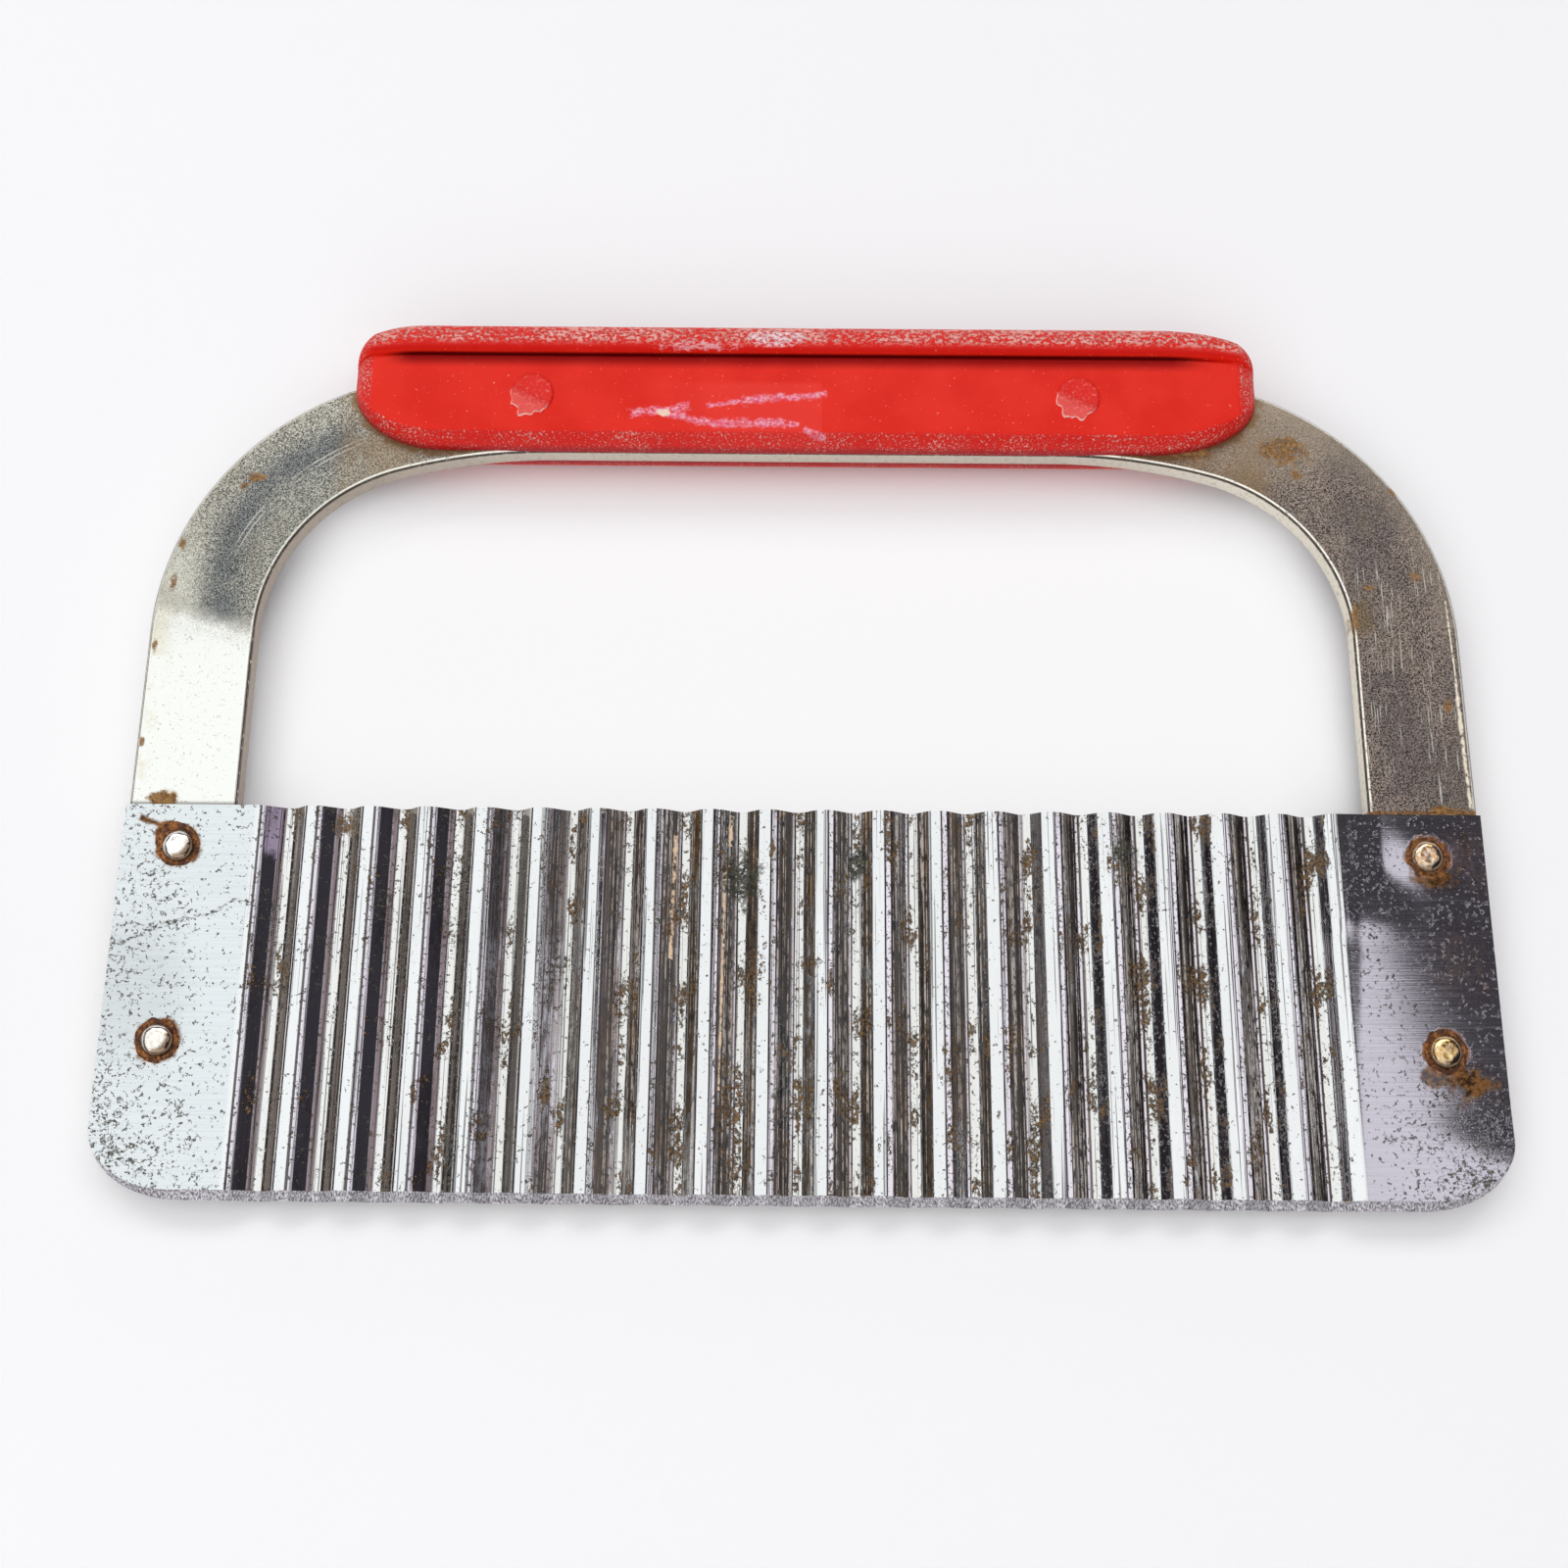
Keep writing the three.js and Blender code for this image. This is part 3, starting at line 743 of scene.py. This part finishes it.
def rivet_profile(low, high, tab_front):
    """Radius and height from the round head's crown to the middle of the hammered top."""
    back_seat = bow_low.z
    rise = back_seat - low
    sphere = (round_head ** 2 / 4 + rise ** 2) / (2 * rise)
    profile = []
    for i in range(1, dome_steps + 1):
        radius = round_head / 2 * i / dome_steps
        profile.append((radius, low + sphere - math.sqrt(sphere ** 2 - radius ** 2)))
    profile += [(rivet_shank / 2, back_seat), (rivet_shank / 2, tab_front), (set_head / 2, tab_front)]
    for i in range(1, button_steps):
        angle = math.pi / 2 * i / button_steps
        radius = set_head / 2 * math.cos(angle) ** 0.6
        profile.append(
            (radius, tab_front + button_edge + (high - tab_front - button_edge) * math.sin(angle)))
    return profile


def rivet_finish(name, clean, stained):
    """Steel worn bright in the middle of the head and stained towards its rim, with painted shade darkening its
    lower right side.
    """
    finish = Finish(name)
    from_axis = finish.vector("LENGTH", finish.vector("MULTIPLY", finish.place, (1, 1, 0)))
    # Painted shade: the brown reaches further in on the lower right, the side away from the light.
    shade_to_lower_right = finish.vector("DOT_PRODUCT", finish.place, (0.3, -0.3, 0))
    patches = finish.noise(1.1, detail=5, rough=0.6, shift=3)
    dings = finish.noise(0.45, rough=0.6, shift=8)
    stain_and_shade = (from_axis + shade_to_lower_right + patches * 1.2).rise(1.7, 2.6)
    rusted = (from_axis + patches * 0.6).rise(2.15, 2.5)
    colour = finish.coats(
        stained,
        (dings.rise(0.35, 0.65), clean),
        (stain_and_shade, finish.blend(dings, (96, 76, 62), (170, 150, 128))),
        (rusted, finish.blend(dings, (58, 30, 14), (140, 84, 40))))
    finish.relief(dings * 0.015 + rusted * patches * 0.1)
    return finish.set(
        colour=colour, metal=rusted.slide(1, 0.4), rough=rusted.slide(dings.slide(0.12, 0.26), 0.5))


rivet_finishes = {
    "rivet_upper_left": rivet_finish("bright_rivet", (252, 251, 248), (236, 230, 224)),
    "rivet_lower_left": rivet_finish("grey_rivet", (252, 250, 246), (222, 212, 200)),
    "rivet_upper_right": rivet_finish("amber_rivet", (236, 222, 204), (196, 150, 96)),
    "rivet_lower_right": rivet_finish("golden_rivet", (232, 210, 168), (200, 160, 96)),
}
for seed, (name, place) in enumerate(rivet_places.items()):
    low, high = node_box(name)
    crater = 0.22 if name == "rivet_upper_right" else 0.04
    rings = []
    for radius, z in rivet_profile(low.z, high.z, blade_high.z):
        ring = turned_ring(radius, z, seed, 0.04)
        if z > blade_high.z:
            dip = crater * math.exp(-(radius / 0.8) ** 2)
            ring = [(x, y, z - dip - 0.12 * abs(unevenness(x, y, 1.3, seed + 3))) for x, y, z in ring]
        rings.append(ring)
    rivet = loft(name + "_steel", rings, sharp=50)
    rivet.location = (place.x * mm, place.y * mm, 0)
    rivet.data.materials.append(rivet_finishes[name])
    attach(rivet, "root")
    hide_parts(name)


# Rust collars: each hammered head raised a low ridge round itself, and rust has filled it in with a
# thin glossy scale, dark next to the head. The upper left one has crept up the tab.
scale = Finish("rust_scale")
flakes = scale.noise(0.4, detail=6, rough=0.65)
patches = scale.noise(1.3, rough=0.6, shift=5)
colour = scale.coats(
    (82, 44, 18),
    (patches.rise(0.4, 0.62), (160, 98, 44)),
    (flakes.rise(0.56, 0.38), (50, 26, 12)),
    (flakes.rise(0.6, 0.72), (206, 158, 100)))
scale.relief(flakes * 0.12)
scale.set(colour=colour, metal=0.45, rough=flakes.slide(0.3, 0.55))
collar_steps = 72
collar_inner = 1.8
collar_width = 1.05
collar_section = (
    (collar_inner, -0.05), (1.95, 0.1), (2.12, 0.06), (2.32, 0.26), (2.5, 0.24), (2.68, 0.1), (2.85, -0.05))


def rust_collar(name, place, creep, seed):
    """A ragged low ridge about a place in mm, which creeps further to the upper left."""
    rings = []
    for out in all_round(collar_steps):
        ragged = 0.12 * unevenness(3 * out.x, 3 * out.y, 1.2, seed)
        lobe = creep * max(0, 0.77 * out.y - 0.64 * out.x) ** 3
        ring = []
        for radius, height in collar_section:
            spread = (radius - collar_inner) / collar_width
            reach = radius * (1 + ragged * spread) + lobe * spread
            lump = 0.75 + 0.5 * unevenness(reach * out.x, reach * out.y, 0.6, seed + 1)
            z = blade_high.z + (height * lump if height > 0 else height)
            ring.append((place.x + reach * out.x, place.y + reach * out.y, z))
        rings.append(ring)
    collar = loft(name, rings, sharp=60, joined=True)
    collar.data.materials.append(scale.material)
    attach(collar, "root")


for seed, (name, place) in enumerate(rivet_places.items()):
    rust_collar(name + "_collar", place, 0.9 if name == "rivet_upper_left" else 0.15, 10 + 2 * seed)


# Grip: two like halves of moulded red plastic that close round the top bar, each with a rolled bead
# along its upper edge. Handling has rubbed the bead, the ends and the lower rim to a pale bloom.
grip_low, grip_high = node_box("grip_front")
panel = 3.3
rim_width = 1.5
rim_turn = math.radians(64)
end_width = 3
bead_radius = 2
bead_rise = 1.8
groove_width = 0.6
groove_depth = 0.55
bead_span = 2 * bead_radius + groove_width
upper_left, upper_right = (10, 5), (14, 5)
lower_left, lower_right = (13, 9), (15, 8)
pocket = 0.3
rim_points, groove_points, bead_points = 12, 5, 30
end_columns, corner_columns, straight_columns = 14, 24, 80
crest_z = grip_high.z - bar_middle
panel_z = crest_z - bead_rise
floor_z = panel_z - panel
parting = grip_low.z - bar_middle


def corner_fall(corner, inset):
    """Fall of an oval corner, given its width and height, at a distance in from the end."""
    width, height = corner
    run = max(0, 1 - inset / width)
    return height * (1 - math.sqrt(1 - run * run))


def rim_in(angle, width):
    """Distance in from the rim's foot where its rounding has turned through an angle."""
    return width * (1 - math.cos(angle)) / (1 - math.cos(rim_turn))


def rim_share(inset, width):
    """Share of the rim's height at a distance in from the foot: it meets the flat panel in a soft crease."""
    turned = math.acos(1 - min(1, inset / width) * (1 - math.cos(rim_turn)))
    return math.sin(turned) / math.sin(rim_turn)


def grip_profile():
    """The outside from the lower edge to the upper one: which edge, distance in from it and height."""
    profile = [("low", 0, parting), ("low", 0, 0.5 * floor_z)]
    for i in range(rim_points + 1):
        angle = rim_turn * i / rim_points
        profile.append(
            ("low", rim_in(angle, rim_width), floor_z + panel * math.sin(angle) / math.sin(rim_turn)))
    for share in (0.03, 0.1, 0.25, 0.45, 0.65, 0.85, 0.96, 1):
        profile.append(("panel", share, panel_z))
    for i in range(1, groove_points + 1):
        dip = groove_depth * (1 - math.cos(math.pi * i / groove_points)) / 2
        inward = 2 * bead_radius + groove_width * (1 - i / groove_points) - 0.04
        profile.append(("high", inward, panel_z - dip))
    for i in range(bead_points - 1, -1, -1):
        angle = math.pi * i / bead_points
        profile.append((
            "high", bead_radius * (1 - math.cos(angle)), crest_z - bead_radius * (1 - math.sin(angle))))
    return profile + [("high", 0, 0.5 * floor_z), ("high", 0, parting)]


def bar_edge_at(x):
    """Y of the bow's outer edge at x."""
    reach = abs(x)
    if reach <= crown_x:
        return bar_y + bar_half
    bend = crown_x + (crown_radius + bar_half) * math.cos(shoulder_turn)
    centre_x, centre_y, radius = (
        (crown_x, crown_y, crown_radius) if reach <= bend else (shoulder_x, shoulder_y, shoulder_radius))
    return centre_y + math.sqrt((radius + bar_half) ** 2 - (reach - centre_x) ** 2)


def grip_ring(x, profile):
    """A half's section at x: over the outside, then back through the pocket that takes the bar."""
    inset = grip_high.x - abs(x)
    fall = corner_fall(upper_left if x < 0 else upper_right, inset)
    top = grip_high.y - fall
    bottom = grip_low.y + corner_fall(lower_left if x < 0 else lower_right, inset)
    squeeze = min(1, (top - bottom) / (bead_span + rim_width + 2))
    crown = rim_share(inset, end_width)
    closing = ramp(inset, 3, 7)
    low_edge = bottom + rim_width * squeeze
    high_edge = min(grip_high.y - bead_span - 0.25 * fall, top - 0.25 * bead_span)
    bead_share = (top - high_edge) / bead_span
    ring = []
    for side, inward, z in profile:
        if side == "low":
            y = bottom + inward * squeeze
        elif side == "high":
            y = top - inward * bead_share
        else:
            y = low_edge + (high_edge - low_edge) * inward
        if side == "high" and floor_z < z < panel_z:
            z = panel_z - (panel_z - z) * closing
        if z > panel_z:
            z = panel_z + (z - panel_z) * (0.35 + 0.65 * bead_share)
        raised = max(0, z - floor_z)
        worn = -0.06 * abs(unevenness(x, y, 5, 11)) if raised > 0.5 else 0
        ring.append((x, y, z - raised * (1 - crown) + worn * crown))
    lip = min(max(bar_edge_at(x) + pocket, bottom + 0.02), top - 0.3)
    ring += [(x, lip, parting), (x, lip, floor_z), (x, bottom + 0.01, floor_z)]
    return ring


def grip_half(name, node, facing):
    """One half in front of the bar's middle (facing 1) or behind it (facing -1)."""
    insets = [rim_in(rim_turn * i / end_columns, end_width) for i in range(end_columns + 1)]
    rounded = lower_right[0] - end_width
    insets += [end_width + rounded * (i / corner_columns) ** 1.3 for i in range(1, corner_columns + 1)]
    ends = [grip_high.x - inset for inset in insets]
    straight = [-ends[-1] + 2 * ends[-1] * i / straight_columns for i in range(1, straight_columns)]
    profile = grip_profile()
    rings = [grip_ring(x, profile) for x in [-x for x in ends] + straight + ends[::-1]]
    rings = [[(facing * x, y, bar_middle + facing * z) for x, y, z in ring] for ring in rings]
    half = loft(name, rings, sharp=40)
    half.data.materials.append(red.material)
    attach(half, "root")
    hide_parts(node)


red = Finish("worn_red_plastic")
to_right, to_top, _ = red.facing()
outward = abs(red.z - bar_middle)
in_front = red.z.rise(bar_middle - 0.5, bar_middle + 0.5)
fray = red.noise(1.3, detail=5, rough=0.65, shift=2) - 0.5
blotches = red.noise(0.42, detail=5, rough=0.75, stretch=(1.5, 1, 1))
fine = red.noise(0.3, rough=0.7, shift=31)
patchy = red.noise(7, detail=3, shift=7)
bead = outward.rise(panel_z + 0.5, panel_z + 0.8)
bead_top = outward.rise(panel_z + 0.5, panel_z + 1.2) * to_top.rise(-0.85, -0.3)
bead_back = to_top.rise(0.5, 0.8) * red.y.rise(54, 55)
rim = to_top.rise(-0.12, -0.4) * outward.rise(panel_z + 0.05, panel_z - 0.1) * red.y.rise(54.5, 53.5)
ends = abs(to_right).rise(0.12, 0.4) * (1 - bead * 0.5)
shade = red.most(rim, ends) * outward.rise(floor_z + 1.7, floor_z + 0.2)
rubbed = red.most(bead_top, bead_back * 0.6, red.most(rim, ends) * (1 - shade * 0.7))
patches = (patchy - 0.5) * 0.2
bloom = (
    rubbed
    * red.most(
        (blotches + patches).rise(0.47, 0.55) * bead_top, (blotches + patches).rise(0.54, 0.62) * bead_back,
        (fine + patches).rise(0.56, 0.62) * red.most(rim, ends)))
pale_patch = (
    red.most(red.spot(-4.2, 57.9, 4, 1, fray * 1.6, 0.5), red.spot(-15, 56.9, 5, 0.4, fray * 4, 0.8) * 0.6)
    * blotches.rise(0.42, 0.54) * in_front)
dabs = red.noise(1.1, rough=0.7, stretch=(1.6, 1, 1), shift=57)
stroke_places = [
    ((-23.7, 47.1), (-20.3, 47.4), 1), ((-20.3, 47.4), (-16.7, 48), 0.9), ((-18.6, 46.8), (-15.6, 46.1), 0.8),
    ((-15.6, 46.1), (-12.6, 45.5), 0.9), ((-12.6, 45.5), (-3.2, 45.6), 1), ((-3.2, 45.6), (-1.2, 45.4), 0.6),
    ((0.3, 44.5), (2.4, 43.6), 0.7), ((-13.3, 48.2), (-8.4, 49.1), 0.5), ((-8.4, 49.1), (-3.3, 49.5), 1),
    ((-3.3, 49.5), (2.3, 50), 0.8)]
strokes = (
    in_front * fine.rise(0.34, 0.5) * dabs.rise(0.34, 0.46)
    * red.most(*(red.streak(*stroke, fray * 5, 0.8) for stroke in stroke_places)))
dab = in_front * red.spot(-19.7, 47.1, 1, 0.5, fray * 2, 0.6)
specks = red.noise(0.3, detail=2, shift=14).rise(0.72, 0.76)
hairs = red.noise(0.2, detail=2, stretch=(12, 1, 1), shift=21).rise(0.72, 0.77) * patchy.rise(0.4, 0.6) * 0.3
tape = red.x.band(-26, -6, 2.3, 2.5) * red.y.rise(52.3, 51.3) * in_front

colour = red.coats(
    (222, 32, 16),
    (patchy.rise(0.3, 0.7), (231, 42, 26)),
    (tape * 0.5, (238, 64, 54)),
    (red.most(bead_top, bead_back) * 0.5, (236, 54, 50)),
    (red.most(rim, ends) * 0.5, (216, 36, 36)),
    (shade * 0.8, (150, 12, 22)),
    # Painted shade: the bead's lower side, turned down towards the panel, is a darker, deeper red.
    (bead * (1 - bead_top) * to_top.rise(-0.2, -0.6) * 0.7, (214, 12, 8)),
    (bloom * 0.8, red.blend(fine, (240, 136, 126), (253, 226, 216))),
    (red.most(specks, hairs), (244, 160, 146)),
    (strokes * 0.95, red.blend(blotches.rise(0.35, 0.65), (230, 78, 122), (252, 194, 208))),
    (dab, (248, 214, 196)),
    (pale_patch * 0.9, red.blend(fine, (240, 190, 200), (252, 238, 238))))
groove_line = grip_high.y - 2 * bead_radius - 0.2
below_groove = groove_line - red.y
along_groove = red.x.band(-60, -55, 51, 58)
# Painted shade and dirt: the groove under the bead is darkened, partly as dirt and partly as the bead's shadow,
# and a painted shadow fades down the panel below it; it also takes the sheen off there.
groove_dirt_and_shade = (
    red.most(
        abs(below_groove).rise(0.8, 0.2) * outward.rise(panel_z + 0.4, panel_z - 0.1),
        below_groove.rise(2.4, 0.5) * outward.rise(panel_z + 0.15, panel_z) * 0.92) * along_groove)
colour = red.blend(groove_dirt_and_shade * 0.85, colour, (100, 0, 8))
red.relief(bloom * 0.05 + patchy * 0.05 + strokes * 0.03 + blotches * rubbed * 0.08)
red.set(
    colour=colour, rough=red.most(bloom, strokes).slide(rubbed.slide(0.34, 0.45), 0.65),
    gloss=groove_dirt_and_shade.slide(0.13, 0.02))

grip_half("grip_front_shell", "grip_front", 1)
grip_half("grip_back_shell", "grip_back", -1)


# Grip pins: red plastic studs through both halves and the bar, their ends pressed flat with a hot
# tool, which left a torn lip of flash low on each head.
torn_way = Vector((-0.45, -0.9, 0))
head_radius = 3
shank_radius = 2
head_steps = 64
head_top = 0.45
pin_red = Finish("torn_red_plastic")
to_front = pin_red.facing()[2]
blotches = pin_red.noise(0.5, rough=0.7, shift=4)
low_left = pin_red.vector("DOT_PRODUCT", pin_red.place, torn_way)
torn = (low_left + (blotches - 0.5) * 4).rise(-0.2, 1.3)
edge = abs(to_front).rise(0.93, 0.75) * low_left.rise(0.3, 1.4)
colour = pin_red.coats(
    (224, 32, 22),
    (torn, (232, 84, 78)),
    (blotches.rise(0.56, 0.66) * 0.7, (242, 140, 130)),
    (edge * blotches.rise(0.35, 0.5), (250, 206, 196)))
pin_red.relief(torn * 0.06 + blotches * 0.08)
pin_red.set(colour=colour, rough=torn.slide(0.35, 0.55), gloss=0.2)


def pin_head(facing, seed):
    """Rings of a flattened head from its seat to its middle, with a torn lower left edge."""
    levels = (
        (0.62, -0.6), (0.97, -0.5), (1, -0.1), (0.99, 0.2), (0.96, 0.34), (0.9, 0.4), (0.8, 0.41), (0.62, 0.37),
        (0.45, 0.34), (0.25, 0.35), (0.05, 0.36))
    rings = []
    for share, level in levels:
        ring = []
        for out in all_round(head_steps):
            low_left = max(0, torn_way.x * out.x + torn_way.y * out.y) ** 2
            tear = 1.1 * unevenness(2.2 * out.x, 2.2 * out.y, 0.55, seed) * low_left
            radius = share * (head_radius + tear * share ** 3 + 0.2 * low_left * share ** 3)
            x, y = radius * out
            sunk = 0.22 * ramp(torn_way.x * x + torn_way.y * y, 0.6, 1.1) * (1 - share ** 4)
            lift = 0.1 * unevenness(x, y, 1.3, seed + 2) - sunk
            ring.append((x, y, min(head_top, level + lift) if level > 0 else level))
        rings.append(ring)
    return [[(x, y, facing * (panel_z + z)) for x, y, z in ring] for ring in rings]


for seed, name in enumerate(("grip_pin_left", "grip_pin_right")):
    low, high = node_box(name)
    place = (low + high) / 2
    shank = [turned_ring(shank_radius, z, seed, 0) for z in (1 - panel_z, panel_z - 1)]
    pin = loft(name + "_shank", shank)
    for facing, side in ((1, "front"), (-1, "back")):
        head = loft(name + "_head_" + side, pin_head(facing, 20 + 4 * seed + facing), sharp=60)
        head.location = (place.x * mm, place.y * mm, place.z * mm)
        head.data.materials.append(pin_red.material)
        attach(head, "root")
    pin.location = (place.x * mm, place.y * mm, place.z * mm)
    pin.data.materials.append(pin_red.material)
    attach(pin, "root")
    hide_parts(name)


# Table: a plain pale sheet that fades into the backdrop, and that looks palest inside the opening, as in
# the overexposed photo. The cutter lies on the grip's back bead and the lower rivets' round heads, so
# the sheet is tilted to touch both.
front_touch = Vector((rivet_places["rivet_lower_left"].y, node_box("rivet_lower_left")[0].z))
back_touch = Vector((grip_high.y - bead_radius, node_box("grip_back")[0].z))
tilt = math.atan2(back_touch.y - front_touch.y, back_touch.x - front_touch.x)
bpy.ops.mesh.primitive_circle_add(vertices=96, radius=6, fill_type="NGON")
table = bpy.context.object
table.name = "table"
table.rotation_euler = (tilt, 0, 0)
table.location = (0, back_touch.x * mm, back_touch.y * mm - 0.0001)
backdrop = tint(251, 250, 251)
card = Finish("pale_card")
grain = card.noise(0.9, rough=0.6)
card.relief(grain * 0.02)
card.set(colour=card.blend(grain, (250, 249, 250), (252, 251, 252)), rough=0.9, gloss=0.1)
ray = card.tree.nodes.new("ShaderNodeLightPath").outputs
seen = card.most(*(ray["Is %s Ray" % kind] for kind in ("Camera", "Glossy", "Transmission")))
far = card.vector("LENGTH", card.vector("MULTIPLY", card.place, (1, 1, 0))).rise(170, 700)
# Painted light: the sheet glows to the camera and in reflections, most inside the opening, which washes out the
# cutter's shadows there.
in_opening = card.x.band(-76, -62, 62, 76) * card.y.band(-80, -72, -28, -15)
painted_glow_share = seen * far.slide(in_opening.slide(0.06, 0.7), 1)
glow = card.node("Emission", 0, {"Color": backdrop})
lit = card.node("MixShader", 0, {0: painted_glow_share, 1: card.shader.outputs[0], 2: glow})
card.feed(card.tree.nodes["Material Output"].inputs["Surface"], lit)
table.data.materials.append(card.material)


# Light: two large soft panels overhead to the left, a dimmer lilac one to the right, and two low panels
# in front and behind that fill the shadows. A pale backdrop stands round the table in a dark room.
def soft_panel(name, place, aim, width, depth, strength, colour, turn=0):
    """A rectangular light in metres, whose strength is the brightness of its face."""
    lamp = bpy.data.lights.new(name, "AREA")
    lamp.shape = "RECTANGLE"
    lamp.size = width
    lamp.size_y = depth
    lamp.energy = strength * math.pi * width * depth
    lamp.color = colour
    lamp_object = add(name, lamp)
    direction = Vector(aim) - Vector(place)
    facing = direction.to_track_quat("-Z", "Y").to_matrix().to_4x4()
    lamp_object.matrix_world = Matrix.Translation(place) @ facing @ Matrix.Rotation(turn, 4, "Z")


cool = (0.98, 1, 1)
overhead_turn = math.radians(18)
soft_panel("overhead", (-0.3635, -0.129, 0.9), (-0.3635, -0.128, 0), 1.574, 1.035, 1.2, cool, overhead_turn)
soft_panel("right", (0.85, 0.15, 0.9), (0.85, 0.151, 0), 0.7, 0.4, 1.15, (0.97, 0.92, 1))
soft_panel("front_fill", (-0.2, -1.5, 1.26), (0, 0, 0), 2.6, 1.1, 1.45, (1, 0.99, 1))
soft_panel("back_fill", (-0.1, 1.55, 1.6), (0, 0, 0), 2.8, 0.8, 2.9, (1, 1, 1))
soft_panel("overhead_left", (-0.937, 0.439, 0.9), (-0.937, 0.44, 0), 0.79, 0.4, 1.2, cool, overhead_turn)

world = bpy.data.worlds.new("dim_room")
world.use_nodes = True
bpy.context.scene.world = world
room = Nodes(world.node_tree)
height = room.parts(room.tree.nodes.new("ShaderNodeTexCoord").outputs["Generated"])[2]
horizon = room.node("MapRange", "Result", {"Value": height, "From Min": 0.2, "From Max": 0.26})
air = room.node("Mix", 2, {0: horizon, 6: backdrop, 7: (0.052, 0.048, 0.053, 1)}, data_type="RGBA")
room.feed(room.tree.nodes["Background"].inputs["Color"], air)


# Camera: held above the blade and tipped towards the grip, as the photographer held it.
photo_width = 1600
focal_pixels = 1840
camera_roll, camera_tip, camera_swing = -0.010118, -0.289975, -0.005388
blade_from_camera = (0.0023576, -0.0033562, -0.2370255)
camera_data = bpy.data.cameras.new("camera")
camera_data.sensor_width = 36
camera_data.lens = camera_data.sensor_width * focal_pixels / photo_width
camera_data.clip_start = 0.01
camera = add("camera", camera_data)
tipped = (
    Matrix.Rotation(camera_roll, 4, "Z") @ Matrix.Rotation(camera_tip, 4, "X")
    @ Matrix.Rotation(camera_swing, 4, "Y"))
blade_top = Matrix.Translation((0, -blade_high.y * mm, -blade_high.z * mm))
camera.matrix_world = (Matrix.Translation(blade_from_camera) @ tipped @ blade_top).inverted()
bpy.context.scene.camera = camera
bpy.context.scene.view_settings.view_transform = "Standard"
